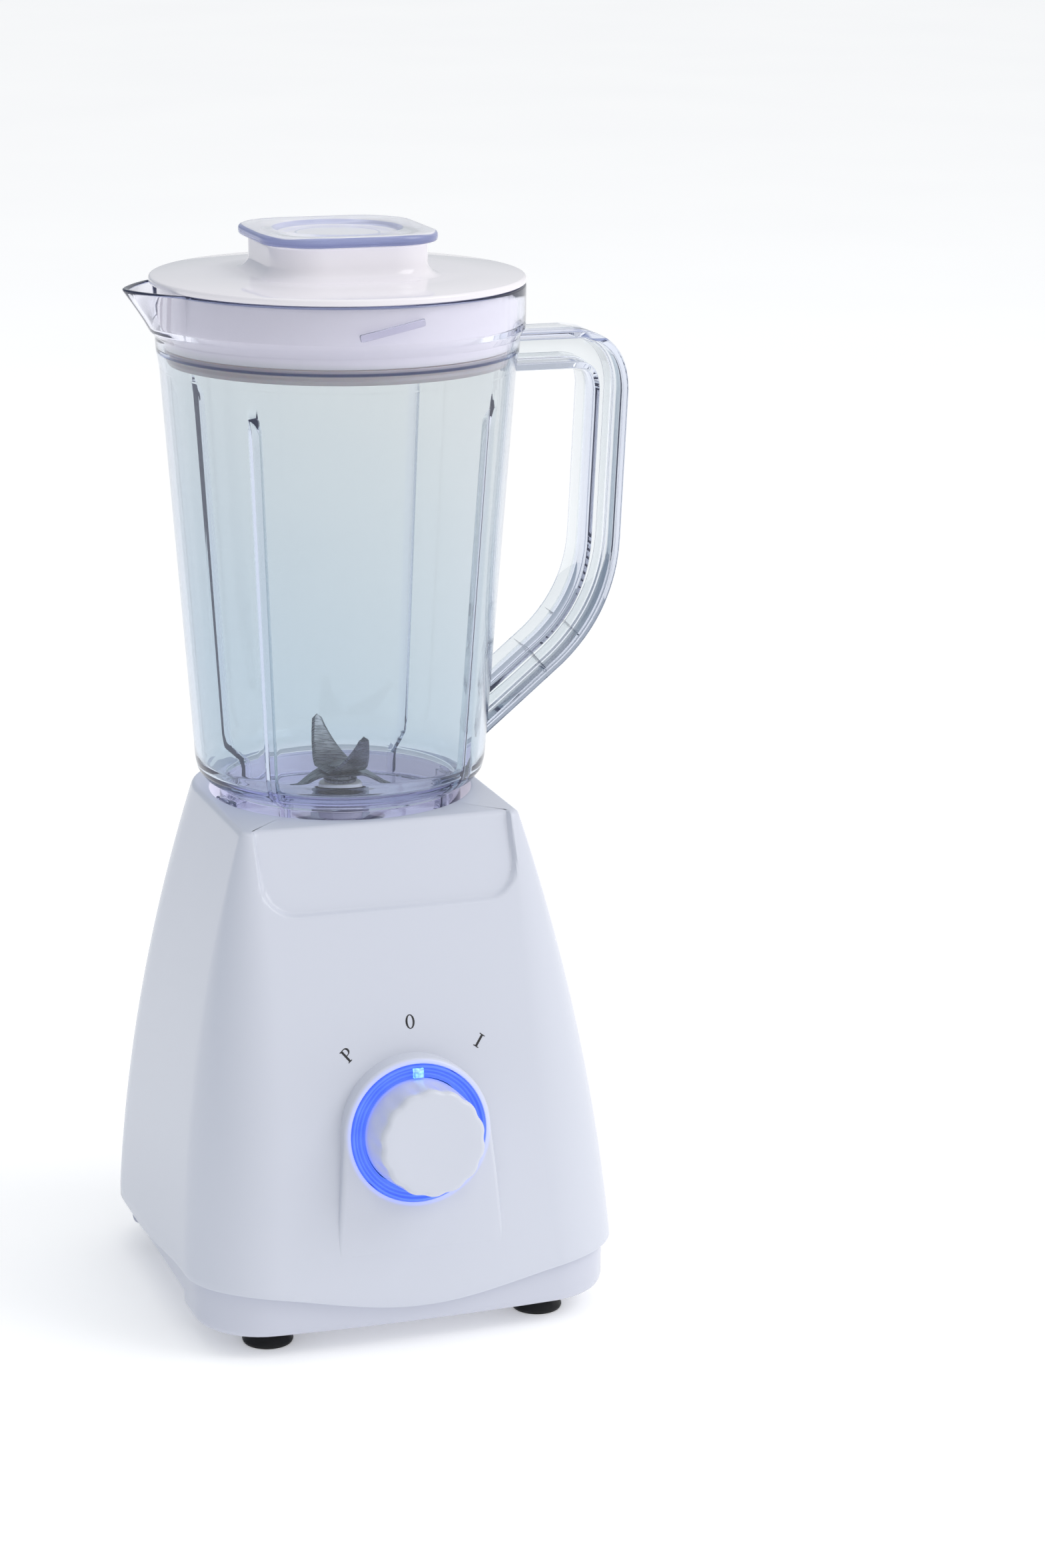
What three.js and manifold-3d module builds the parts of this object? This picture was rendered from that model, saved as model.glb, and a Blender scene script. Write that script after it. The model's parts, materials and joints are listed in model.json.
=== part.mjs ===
// Countertop blender: tapered motor base, rotary control with a lit ring, clear jar with a
// blade unit, lid and filler cap.  Millimetres, +Z up, control on -Y, handle on +X, spout on -X.
import * as THREE from 'three';
import { mergeVertices } from 'three/addons/utils/BufferGeometryUtils.js';
import { ConvexGeometry } from 'three/addons/geometries/ConvexGeometry.js';
import Module from 'manifold-3d';

const wasm = await Module();
wasm.setup();

// ---------- driving dimensions ----------
// jar and motor axis, from the centre of the overall box
const AXIS = new THREE.Vector3(-13.42, 23.12, 0);
const GAP = 0.3;                      // clearance between neighbouring pieces

const BASE = {
  bottom: 8, fullWidth: 23, top: 176.3, wall: 2.8,
  halfWidth: 77.5, front: 99, back: 50, crown: 3.5,
  topHalfWidth: 50, topFront: 53.5, topBack: 50.5, lip: 2.2,
  recessR: 46.5, recessFloor: 163, recessWall: 2.4, shaftHoleR: 16,
};
const PARTING = { centre: 15.5, corner: 25, side: 18.5, halfSpan: 72, sideEnd: 70 };
const SHELL = {
  inset: 3.2, wall: 2.4, floor: 2.4, top: 27,
  archX: 62, archFront: -57, archBack: 24, archTop: 14.5, // the sides arch up clear of the worktop
};
const FOOT = { x: 49.4, front: -75.6, back: 30, r: 9, cup: 5.2, stemR: 3.6 };
const FACET = { halfWidth: 46, radius: 12, bottomZ: 149, topDepth: 2.6, bottomDepth: 2 };
const POD = { y: -93.6, z: 77, tilt: 0.12, r: 26.3, flare: 31, drop: 49, depth: 12 };
const RING = { outer: 23.8, inner: 19.6, depth: 7 };
const KNOB = { r: 19.2, scallops: 14, scallopDepth: 0.7, foot: -1.5, face: 17.5, shaftR: 3 };

const JAR = {
  rimZ: 356.4, rimR: 65.2, collarZ: 341.5, stepR: 63, stepZ: 334, wall: 2.3,
  coneTopR: 61.2, coneTopZ: 317, coneBottomR: 51.6, coneBottomZ: 188,
  collarR: 43, collarBottom: 163.3, floorTop: 171.5, floor: 3, stemHoleR: 5.9,
};
const RIB = { width: 3, depth: 3, top: 317 };
const SPOUT = { tip: 76.3, halfAngle: 0.36, bottom: 340, tipHalf: 3.5 };
const HANDLE = { width: 20, depth: 13.5, flange: 2.6, web: 3 };
const LID = {
  r: 65.2, disc: 2.4, skirtR: 60.2, skirtBottom: 335, skirtWall: 2.2,
  neck: 56, neckR: 16, neckTop: 371, hole: 51,
};
const CAP = {
  side: 62.5, radius: 18, top: 375.2, flange: 3.6,
  plug: 50, plugBottom: 352, dishR: 22.5, dish: 2,
};
const GLAND = { z: 40, r: 5, flangeR: 7.5, boreR: 2.6, from: 45.5, to: 58 };
const SCREW = { x: 60, front: -58, back: 18, r: 1.5, headR: 3.5 };
const MOTOR = { shaftR: 4, stator: 76, stack: [78, 112], bore: 22, rotorR: 21, post: 33 };
const BLADE = { thickness: 1.4, boreR: 3.3, shaftR: 3 };
const WIDE = 36;                      // facets around the jar and the lid
const SEGMENTS = 32;                  // facets around the middling turned pieces
const SMALL = 14;                     // facets around the small turned pieces

// ---------- materials ----------
const finishes = {
  whitePlastic: { color: '#e9ebf2', roughness: 0.28, metalness: 0 },
  greyPlastic: { color: '#8d9096', roughness: 0.55, metalness: 0 },
  clearPlastic: { color: '#cfe0ee', roughness: 0.08, metalness: 0 },
  bluePlastic: { color: '#2b46ff', roughness: 0.2, metalness: 0 },
  rubber: { color: '#0d0d0e', roughness: 0.7, metalness: 0 },
  seal: { color: '#d8cfd3', roughness: 0.5, metalness: 0 },
  steel: { color: '#9a9da1', roughness: 0.3, metalness: 1 },
  lamination: { color: '#6d7074', roughness: 0.5, metalness: 0.9 },
  copper: { color: '#b4622d', roughness: 0.35, metalness: 1 },
  carbon: { color: '#2a2a2c', roughness: 0.8, metalness: 0 },
  board: { color: '#1d6b3c', roughness: 0.5, metalness: 0 },
};

// ---------- solids ----------
function toManifold(geometry) {
  const plain = geometry.index ? geometry.toNonIndexed() : geometry.clone();
  for (const name of Object.keys(plain.attributes)) {
    if (name !== 'position') plain.deleteAttribute(name);
  }
  const merged = mergeVertices(plain, 1e-4);
  return new wasm.Manifold(new wasm.Mesh({
    numProp: 3,
    vertProperties: new Float32Array(merged.attributes.position.array),
    triVerts: new Uint32Array(merged.index.array),
  }));
}

function toGeometry(solid) {
  const mesh = solid.getMesh();
  const geometry = new THREE.BufferGeometry();
  geometry.setAttribute('position', new THREE.BufferAttribute(mesh.vertProperties, 3));
  geometry.setIndex(new THREE.BufferAttribute(mesh.triVerts, 1));
  geometry.computeVertexNormals();
  return geometry;
}

const points = (pairs) => pairs.map(([x, y]) => new THREE.Vector2(x, y));

function turned(profile, segments = SEGMENTS) {
  const geometry = new THREE.LatheGeometry(points(profile), segments);
  return toManifold(geometry.rotateX(Math.PI / 2));
}

function rod(radius, bottom, top, segments = SMALL) {
  return turned([[0, bottom], [radius, bottom], [radius, top], [0, top]], segments);
}

function tube(outer, inner, bottom, top, segments = SMALL) {
  const profile = [[inner, bottom], [outer, bottom], [outer, top], [inner, top], [inner, bottom]];
  return turned(profile, segments);
}

function prism(shape, bottom, top, curveSegments = 3) {
  const settings = { depth: top - bottom, bevelEnabled: false, curveSegments };
  return toManifold(new THREE.ExtrudeGeometry(shape, settings).translate(0, 0, bottom));
}

// an outline in the XZ plane, given thickness along Y
function plate(shape, yLow, yHigh, curveSegments = 3) {
  const settings = { depth: yHigh - yLow, bevelEnabled: false, curveSegments };
  const geometry = new THREE.ExtrudeGeometry(shape, settings).rotateX(Math.PI / 2);
  return toManifold(geometry.translate(0, yHigh, 0));
}

function block(x, y, z) {
  const geometry = new THREE.BoxGeometry(x[1] - x[0], y[1] - y[0], z[1] - z[0]);
  return toManifold(geometry.translate((x[0] + x[1]) / 2, (y[0] + y[1]) / 2, (z[0] + z[1]) / 2));
}

function roundedRect(width, height, radius) {
  const [w, h, r] = [width / 2, height / 2, radius];
  const shape = new THREE.Shape();
  shape.moveTo(w, -h + r);
  shape.lineTo(w, h - r).absarc(w - r, h - r, r, 0, Math.PI / 2);
  shape.lineTo(-w + r, h).absarc(-w + r, h - r, r, Math.PI / 2, Math.PI);
  shape.lineTo(-w, -h + r).absarc(-w + r, -h + r, r, Math.PI, 1.5 * Math.PI);
  shape.lineTo(w - r, -h).absarc(w - r, -h + r, r, 1.5 * Math.PI, 2 * Math.PI);
  return shape;
}

// an outline whose radius varies with the angle
function polarShape(radiusAt, count) {
  const shape = new THREE.Shape();
  for (let i = 0; i < count; i += 1) {
    const angle = (2 * Math.PI * i) / count;
    const radius = radiusAt(angle);
    shape[i ? 'lineTo' : 'moveTo'](radius * Math.cos(angle), radius * Math.sin(angle));
  }
  return shape;
}

// a closed skin over rings of equal length, each ring listed anticlockwise from above
function loft(rings) {
  const count = rings[0].length;
  const position = rings.flat().flatMap((p) => [p.x, p.y, p.z]);
  const index = [];
  for (let level = 0; level + 1 < rings.length; level += 1) {
    for (let i = 0; i < count; i += 1) {
      const [a, b] = [level * count + i, level * count + ((i + 1) % count)];
      index.push(a, b, b + count, a, b + count, a + count);
    }
  }
  const flat = (ring) => ring.map((p) => new THREE.Vector2(p.x, p.y));
  const last = (rings.length - 1) * count;
  for (const [a, b, c] of THREE.ShapeUtils.triangulateShape(flat(rings[0]), [])) index.push(a, c, b);
  for (const [a, b, c] of THREE.ShapeUtils.triangulateShape(flat(rings[rings.length - 1]), [])) {
    index.push(last + a, last + b, last + c);
  }
  const geometry = new THREE.BufferGeometry();
  geometry.setAttribute('position', new THREE.Float32BufferAttribute(position, 3));
  geometry.setIndex(index);
  return toManifold(geometry);
}

function bodyMesh(name, solid, finish) {
  const mesh = new THREE.Mesh(toGeometry(solid), new THREE.MeshStandardMaterial(finishes[finish]));
  mesh.name = name;
  return mesh;
}

// ---------- base housing ----------
const CORNER_STEPS = 4;
const FRONT_MIDDLE = CORNER_STEPS + 3; // index of the outline point at the middle of the front

const rise = (z) => Math.max(0, (z - BASE.fullWidth) / (BASE.top - BASE.fullWidth));
const curve = (from, to, linear, s) => from + (to - from) * (linear * s + (1 - linear) * s * s);

// plan outline of the housing at a height, moved inwards by an inset
function baseSection(z, inset = 0) {
  const s = rise(z);
  const w = curve(BASE.halfWidth, BASE.topHalfWidth, 0.26, s) - inset;
  const front = curve(BASE.front, BASE.topFront, 0.43, s) - inset;
  const back = curve(BASE.back, BASE.topBack, 1, s) - inset;
  const frontR = Math.max(3, 28 + 12 * s - 36 * s * s - inset);
  const backR = 28 + 10 * s - inset;
  const crown = BASE.crown * (1 - 0.6 * s);
  const crownAt = (x) => crown * (x / w) ** 2;
  const cornerFront = front - crownAt(w - frontR);
  const ring = [];
  const arc = (cx, cy, r, from, steps) => {
    for (let i = 0; i <= steps; i += 1) {
      const angle = from + (Math.PI / 2) * (i / steps);
      ring.push([cx + r * Math.cos(angle), cy + r * Math.sin(angle)]);
    }
  };
  arc(-w + frontR, -cornerFront + frontR, frontR, Math.PI, CORNER_STEPS);
  for (let i = 1; i < 6; i += 1) {
    const x = (w - frontR) * (i / 3 - 1);
    ring.push([x, -front + crownAt(x)]);
  }
  arc(w - frontR, -cornerFront + frontR, frontR, 1.5 * Math.PI, CORNER_STEPS);
  ring.push([w, (back - backR - cornerFront + frontR) / 2]);
  arc(w - backR, back - backR, backR, 0, CORNER_STEPS);
  arc(-w + backR, back - backR, backR, Math.PI / 2, CORNER_STEPS);
  ring.push([-w, (back - backR - cornerFront + frontR) / 2]);
  return ring.map(([x, y]) => new THREE.Vector3(x, y, z));
}

// height of the wavy parting edge at a place on the outline
function partingHeight({ x, y }) {
  const across = Math.min(1, Math.abs(x) / PARTING.halfSpan);
  const wave = (1 - Math.cos(Math.PI * across)) / 2;
  const frontEdge = PARTING.centre + (PARTING.corner - PARTING.centre) * wave;
  const along = THREE.MathUtils.smoothstep(-y, 0, PARTING.sideEnd);
  const sideEdge = PARTING.side + (PARTING.corner - PARTING.side) * along;
  return y < -PARTING.sideEnd ? frontEdge : sideEdge;
}

function housingSkin() {
  const levels = [23, 55, 85, 112, 134, 152, 166, 173.5];
  const lower = baseSection(BASE.fullWidth).map((p) => p.clone().setZ(partingHeight(p)));
  const rings = levels.slice(1).map((z) => baseSection(z));
  rings.push(baseSection(BASE.top - 0.8, 0.9), baseSection(BASE.top, BASE.lip));
  return loft([lower, ...rings]);
}

function housingCavity() {
  const levels = [0, 23, 70, 112, 145, BASE.top - BASE.wall];
  const section = (z) => baseSection(Math.max(z, BASE.fullWidth), BASE.wall);
  return loft(levels.map((z) => section(z).map((p) => p.setZ(z))));
}

function controlFrame(solid) {
  const place = new THREE.Matrix4().makeRotationX(Math.PI / 2 - POD.tilt);
  place.setPosition(0, POD.y, POD.z);
  return toManifold(toGeometry(solid).applyMatrix4(place));
}

function podSolid() {
  const shape = new THREE.Shape();
  shape.moveTo(POD.flare, -POD.drop);
  shape.lineTo(POD.r, 0).absarc(0, 0, POD.r, 0, Math.PI).lineTo(-POD.flare, -POD.drop);
  return controlFrame(prism(shape, -POD.depth, 0, 9));
}

// shallow flat panel across the top of the front
function facetCut() {
  const height = BASE.top - FACET.bottomZ;
  const shape = new THREE.Shape();
  const [w, r] = [FACET.halfWidth, FACET.radius];
  shape.moveTo(-w + r, 0).lineTo(w - r, 0).absarc(w - r, r, r, -Math.PI / 2, 0);
  shape.lineTo(w + 4, height + 12).lineTo(-w - 4, height + 12);
  shape.lineTo(-w, r).absarc(-w + r, r, r, Math.PI, 1.5 * Math.PI);
  const low = -baseSection(FACET.bottomZ)[FRONT_MIDDLE].y - FACET.bottomDepth;
  const high = BASE.topFront - FACET.topDepth;
  const lean = Math.atan2(low - high, height);
  const geometry = new THREE.ExtrudeGeometry(shape, { depth: 20, bevelEnabled: false, curveSegments: 4 });
  geometry.rotateX(Math.PI / 2 - lean).translate(0, -low, FACET.bottomZ);
  return toManifold(geometry);
}

function housingPosts() {
  const posts = [];
  for (const [x, y] of [[1, 1], [-1, 1], [1, -1], [-1, -1]]) {
    const post = rod(4.5, 130, BASE.top - 4, 12).translate(MOTOR.post * x, MOTOR.post * y, 0);
    posts.push(post);
  }
  return posts;
}

const screwSites = [[-1, SCREW.front], [1, SCREW.front], [-1, SCREW.back], [1, SCREW.back]]
  .map(([side, y]) => [side * SCREW.x, y]);

const glandHole = () => rod(GLAND.r + GAP, 30, 75).rotate([-90, 0, 0]).translate(0, 0, GLAND.z);

function screwBosses() {
  return screwSites.map(([x, y]) => {
    const boss = tube(4.2, 1.8, 17, 50, 12).translate(x, y, 0);
    const outward = x > 0 ? [x + 3, x + 20] : [x - 20, x - 3];
    return boss.add(block(outward, [y - 1.2, y + 1.2], [34, 50]));
  });
}

function upperHousing() {
  const skin = housingSkin();
  const { recessR, recessWall, recessFloor, shaftHoleR, top } = BASE;
  const under = recessFloor - recessWall;
  let inner = tube(recessR + recessWall, recessR - 1, under, top - 1, SEGMENTS);
  inner = inner.add(tube(recessR, shaftHoleR, under, recessFloor, SEGMENTS));
  for (const solid of [...housingPosts(), ...screwBosses()]) inner = inner.add(solid);
  let shell = skin.subtract(housingCavity()).add(inner.intersect(skin));
  const bore = controlFrame(rod(RING.outer + GAP, -POD.depth - 20, 5, SEGMENTS));
  shell = shell.add(podSolid().subtract(block([-90, 90], [-90, 0], [0, 20]))).subtract(bore);
  shell = shell.subtract(facetCut());
  const rim = turned([[0, recessFloor], [recessR, recessFloor], [recessR, top - 1.5],
    [recessR + 1.2, top + 0.1], [recessR + 1.2, top + 5], [0, top + 5]]);
  shell = shell.subtract(rim).subtract(rod(shaftHoleR, 150, 170));
  return shell.subtract(glandHole());
}

function lowerShell() {
  const { bottom, fullWidth } = BASE;
  const skin = loft([baseSection(bottom, SHELL.inset + 1), baseSection(bottom + 1.2, SHELL.inset),
    baseSection(fullWidth, SHELL.inset), baseSection(SHELL.top, SHELL.inset)]);
  const cavity = loft([bottom + SHELL.floor, fullWidth, SHELL.top + 1]
    .map((z) => baseSection(z, SHELL.inset + SHELL.wall)));
  const arch = (side, grow) => {
    const span = [SHELL.archX - grow, 95];
    const x = side > 0 ? span : [-span[1], -span[0]];
    return block(x, [SHELL.archFront - grow, SHELL.archBack + grow], [-5, SHELL.archTop + grow]);
  };
  let hollow = cavity;
  let shell = skin;
  for (const side of [-1, 1]) {
    shell = shell.subtract(arch(side, 0));
    hollow = hollow.subtract(arch(side, SHELL.floor));
  }
  shell = shell.subtract(hollow);
  for (const [x, y] of footSites) {
    shell = shell.subtract(rod(FOOT.stemR + GAP, 0, 20).translate(x, y, 0));
  }
  for (const [x, y] of screwSites) {
    shell = shell.add(tube(5, 2.2, BASE.bottom + 1, 16.5, 12).translate(x, y, 0));
    const counterbore = rod(SCREW.headR + 0.4, 0, 14, 12).add(rod(2.2, 0, 20, 12));
    shell = shell.subtract(counterbore.translate(x, y, 0));
  }
  for (const step of [-2, -1, 0, 1, 2]) {
    shell = shell.subtract(block([-28, 28], [step * 9 - 2, step * 9 + 2], [0, 14]));
  }
  return shell.subtract(glandHole());
}

// ---------- feet and fasteners ----------
const footSites = [[-1, FOOT.front], [1, FOOT.front], [-1, FOOT.back], [1, FOOT.back]]
  .map(([side, y]) => [side * FOOT.x, y]);

function suctionFoot() {
  return turned([[0, 0.8], [6, 0.8], [6.2, 0], [FOOT.r - 0.4, 0], [FOOT.r, 1], [7.2, 3.6], [5.2, FOOT.cup],
    [FOOT.stemR, FOOT.cup], [FOOT.stemR, 15], [0, 15]], 16);
}

function cordGland() {
  const flange = rod(GLAND.flangeR, 51.5, 54.5, 16);
  const gland = rod(GLAND.r, GLAND.from, GLAND.to, 16).add(flange);
  return gland.subtract(rod(GLAND.boreR, 40, 70, 12)).rotate([-90, 0, 0]).translate(0, 0, GLAND.z);
}

const footCollar = () => tube(7, FOOT.stemR + GAP, FOOT.cup + GAP, BASE.bottom - GAP, 16);
const housingScrew = () => rod(SCREW.headR, 11, 13.7, 12).add(rod(SCREW.r, 13, 40, 12));

// ---------- control ----------
function knob() {
  const ripple = (angle) => KNOB.r - KNOB.scallopDepth * (0.5 + 0.5 * Math.cos(KNOB.scallops * angle));
  const grip = prism(polarShape(ripple, KNOB.scallops * 4), KNOB.foot, KNOB.face - 1.5);
  const shoulder = KNOB.face - 1.6;
  const edge = turned([[0, shoulder], [KNOB.r - 0.9, shoulder], [KNOB.r - 2, KNOB.face], [0, KNOB.face]]);
  const bore = rod(KNOB.shaftR + GAP, KNOB.foot - 1, 12);
  return grip.add(edge.intersect(prism(polarShape(ripple, KNOB.scallops * 4), 0, 30))).subtract(bore);
}

function lightRing() {
  const [outer, inner] = [RING.outer, RING.inner];
  return turned([[inner, -RING.depth], [outer, -RING.depth], [outer, 0.4], [outer - 1, 0.9],
    [(outer + inner) / 2, 0.1], [inner + 0.6, 0.5], [inner, 0], [inner, -RING.depth]]);
}

function switchBody() {
  return prism(roundedRect(27, 27, 2), -31, -15).add(tube(5, KNOB.shaftR + GAP, -16, -12.6))
    .subtract(rod(KNOB.shaftR + GAP, -26, -10));
}

const lightBoard = () => tube(21.5, 6, -11.6, -10);
const indicator = () => block([-1.8, 1.8], [19.7, 23.2], [1.3, 3.2]);
const indicatorLed = () => rod(1.6, -9.7, -7.4, 12).translate(0, 21, 0);

// ---------- motor ----------
function stator() {
  const [low, high] = MOTOR.stack;
  const bore = rod(MOTOR.bore, 0, 200, 32);
  let stack = prism(roundedRect(MOTOR.stator, MOTOR.stator, 9), low, high).subtract(bore);
  for (const side of [-1, 1]) {
    const y = [side * 19.2 - 4, side * 19.2 + 4];
    stack = stack.subtract(block([-31.5, 31.5], y, [0, 200]));
  }
  return stack;
}

function fieldWinding(side) {
  const outline = roundedRect(46, 45, 5);
  outline.holes.push(new THREE.Path(roundedRect(36.6, 31.2, 1).getPoints(2)));
  const geometry = new THREE.ExtrudeGeometry(outline, { depth: 7.2, bevelEnabled: false, curveSegments: 4 });
  geometry.rotateY(Math.PI / 2).translate(side > 0 ? 23.8 : -31, 0, 95);
  return toManifold(geometry);
}

function rotor() {
  const slots = (angle) => (Math.cos(12 * angle) > 0.8 ? MOTOR.rotorR - 3 : MOTOR.rotorR);
  return prism(polarShape(slots, 72), 80, 110).subtract(rod(MOTOR.shaftR + GAP, 0, 200));
}

function bracket(plateZ, bossZ, postZ) {
  let solid = prism(roundedRect(80, 80, 12), plateZ, plateZ + 3);
  for (const [x, y] of [[1, 0], [-1, 0], [0, 1], [0, -1]]) {
    solid = solid.subtract(rod(11, 0, 200).translate(27 * x, 27 * y, 0));
  }
  solid = solid.add(rod(14, bossZ[0], bossZ[1], 16)).subtract(rod(11.2, bossZ[2], bossZ[3], 16));
  for (const [x, y] of [[1, 1], [-1, 1], [1, -1], [-1, -1]]) {
    solid = solid.add(rod(4, postZ[0], postZ[1], 12).translate(MOTOR.post * x, MOTOR.post * y, 0));
  }
  return solid.subtract(rod(6, 0, 200));
}

const upperBracket = () => bracket(120, [120, 132, 123, 140], [112.3, 121]);
const lowerBracket = () => bracket(54, [47, 57, 40, 54], [56, 77.7]);
const bearing = (bottom) => tube(10.8, MOTOR.shaftR + GAP, bottom, bottom + 7, 16);
const commutator = () => tube(12, MOTOR.shaftR + GAP, 62, 74, 16);
const motorMount = () => tube(7, 2, 123.3, 129.7, 12);

function brushHolder(side) {
  const channel = block([-3.3, 3.3], [12, 34], [64.2, 71.8]);
  const holder = block([-5, 5], [13.5, 36], [62.5, 73.5]).subtract(channel);
  return side > 0 ? holder : holder.rotate([0, 0, 180]);
}

function brush(side) {
  const carbon = block([-3, 3], [12.4, 27], [64.5, 71.5]);
  return side > 0 ? carbon : carbon.rotate([0, 0, 180]);
}

function fan() {
  let solid = rod(30, 30, 31.6, 24).add(rod(8, 30, 42, 16));
  const vanes = 9;
  for (let i = 0; i < vanes; i += 1) {
    const vane = block([7, 29], [-0.7, 0.7], [31, 42]).rotate([0, 0, (360 * i) / vanes]);
    solid = solid.add(vane);
  }
  return solid.subtract(rod(MOTOR.shaftR + GAP, 0, 200));
}

const lobed = (radius, bottom, top) => (
  prism(polarShape((angle) => radius * (1 - 0.14 * (0.5 - 0.5 * Math.cos(6 * angle))), 48), bottom, top));

function driveCoupling() {
  const cup = rod(14.5, 145, 160.2, 32).subtract(lobed(9.8, 150, 170));
  return cup.subtract(rod(MOTOR.shaftR + GAP, 0, 148));
}

// ---------- jar ----------
const jarOuter = [[JAR.collarR, 178], [44.8, 179.6], [48.2, 181.6], [50.5, 184.4],
  [JAR.coneBottomR, JAR.coneBottomZ], [JAR.coneTopR, JAR.coneTopZ], [61.9, 327],
  [JAR.stepR, JAR.stepZ], [JAR.stepR + 0.3, 338.5], [JAR.rimR - 0.1, JAR.collarZ], [JAR.rimR, JAR.rimZ]];
const jarInner = [[JAR.rimR - JAR.wall, JAR.rimZ],
  [62.7, 343.2], [61.1, 339.6], [60.8, 334.6], [59.6, 327.3],
  [JAR.coneTopR - JAR.wall, JAR.coneTopZ], [JAR.coneBottomR - JAR.wall, JAR.coneBottomZ + 1],
  [48, 186], [45, 183.6], [41.4, 180.8], [40.3, 178], [40.3, JAR.floorTop]];

function innerRadius(z) {
  const t = (z - JAR.coneBottomZ) / (JAR.coneTopZ - JAR.coneBottomZ);
  return JAR.coneBottomR + (JAR.coneTopR - JAR.coneBottomR) * t - JAR.wall;
}

function jarRib(angle) {
  const skin = 1;
  const shape = new THREE.Shape(points([
    [innerRadius(RIB.top) + skin, RIB.top], [innerRadius(RIB.top - 5) - RIB.depth, RIB.top - 5],
    [innerRadius(192) - RIB.depth, 192], [39, 184.5], [37, 179], [37, JAR.floorTop - 1],
    [41.3, JAR.floorTop - 1], [41.3, 179.5], [46, 183.2], [innerRadius(190) + skin, 190],
  ]));
  return plate(shape, -RIB.width / 2, RIB.width / 2).rotate([0, 0, angle]);
}

// pouring lip: a rounded wedge that runs out from the rim
function spoutWedge(inset) {
  const half = SPOUT.halfAngle;
  const root = JAR.rimR - inset;
  const tip = SPOUT.tip - inset * 0.75;
  const wide = root * Math.sin(half) - inset * 0.8;
  const top = inset ? JAR.rimZ + 2 : JAR.rimZ;
  const corner = (x, y, z) => new THREE.Vector3(x, y, z);
  const hull = [];
  for (const side of [-1, 1]) {
    hull.push(corner(-root * Math.cos(half), side * wide, top));
    hull.push(corner(-root * 0.85, side * wide, top));
    hull.push(corner(-tip + 2, side * SPOUT.tipHalf, top), corner(-tip, side * 1.2, top));
    hull.push(corner(-root * 0.9, side * wide * 0.4, SPOUT.bottom + 2 + inset));
  }
  hull.push(corner(-root + 0.5, 0, SPOUT.bottom + inset));
  return toManifold(new ConvexGeometry(hull));
}

// slanted locking rib on the outside of the collar
function collarRib(turn) {
  const bar = block([-11.5, 11.5], [-JAR.rimR - 1.6, -JAR.rimR + 1.2], [-1.1, 1.1]).rotate([0, -12, 0]);
  return bar.translate(0, 0, 348.5).rotate([0, 0, turn]);
}

function jarBody() {
  const { collarR, collarBottom, floorTop, floor, stemHoleR } = JAR;
  const profile = [[collarR, collarBottom], ...jarOuter, ...jarInner, [stemHoleR, floorTop],
    [stemHoleR, floorTop - floor], [40.3, floorTop - floor], [40.3, collarBottom], [collarR, collarBottom]];
  let jar = turned(profile, WIDE);
  for (const angle of [45, 135, 225, 315]) jar = jar.add(jarRib(angle));
  jar = jar.add(spoutWedge(0)).subtract(spoutWedge(JAR.wall)).subtract(lidClearance());
  for (const turn of [0, 180]) jar = jar.add(collarRib(turn));
  for (const side of [0, 180]) {
    const tab = block([42, 45.6], [-6, 6], [172, 176]).rotate([0, 0, side + 8]);
    jar = jar.add(tab);
  }
  return jar;
}

// the space the lid skirt and seal fill, kept clear of the jar
const lidClearance = () => turned([[0, 334.6], [60.8, 334.6], [61.1, 339.6], [62.7, 343.2],
  [JAR.rimR - JAR.wall, JAR.rimZ], [JAR.rimR - JAR.wall, JAR.rimZ + 3], [0, JAR.rimZ + 3]], WIDE);

const jarEnvelope = () => turned([[0, 150], ...jarOuter.map(([r, z]) => [r + GAP, z]), [0, JAR.rimZ]], WIDE);

// centre line of the grip in the XZ plane, from the collar round to the lower wall
function handleCurve() {
  const path = new THREE.CurvePath();
  const at = (x, z) => new THREE.Vector2(x, z);
  path.add(new THREE.LineCurve(at(58, 330.3), at(84, 330.3)));
  path.add(new THREE.QuadraticBezierCurve(at(84, 330.3), at(97.6, 330), at(97.6, 315)));
  path.add(new THREE.LineCurve(at(97.6, 315), at(95.2, 262)));
  path.add(new THREE.QuadraticBezierCurve(at(95.2, 262), at(94, 238), at(76, 222)));
  path.add(new THREE.LineCurve(at(76, 222), at(50, 200.5)));
  return path.curves.flatMap((part, i) => part.getPoints(i % 2 ? 8 : 1).slice(i ? 1 : 0));
}

// band around the centre line, reaching a distance to either side
function handleBand(reach, yLow, yHigh) {
  const line = handleCurve();
  const offset = (sign) => line.map((p, i) => {
    const before = line[Math.max(0, i - 1)];
    const after = line[Math.min(line.length - 1, i + 1)];
    const along = after.clone().sub(before).normalize();
    return new THREE.Vector2(p.x - along.y * reach * sign, p.y + along.x * reach * sign);
  });
  return plate(new THREE.Shape([...offset(1), ...offset(-1).reverse()]), yLow, yHigh);
}

function jarHandle() {
  const half = HANDLE.width / 2;
  let grip = handleBand(HANDLE.depth / 2, -half, half);
  for (const side of [-1, 1]) {
    const y = [HANDLE.web / 2, half + 1];
    const [low, high] = side > 0 ? y : [-y[1], -y[0]];
    const pocket = handleBand(HANDLE.depth / 2 - HANDLE.flange, low, high);
    grip = grip.subtract(pocket);
  }
  return grip.subtract(jarEnvelope());
}

// ---------- blade unit ----------
const bearingBoss = () => turned([[3.3, 160.5], [5.6, 160.5], [5.6, 173.1], [8.2, 173.1], [7.7, 177.6],
  [3.3, 177.6], [3.3, 160.5]], 20);
const gasket = () => tube(9.4, 5.9, JAR.floorTop + GAP, 172.8, 16);

function retainingNut() {
  return prism(polarShape(() => 11, 6), 163.6, 168.2).subtract(rod(5.9, 160, 170));
}

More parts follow.
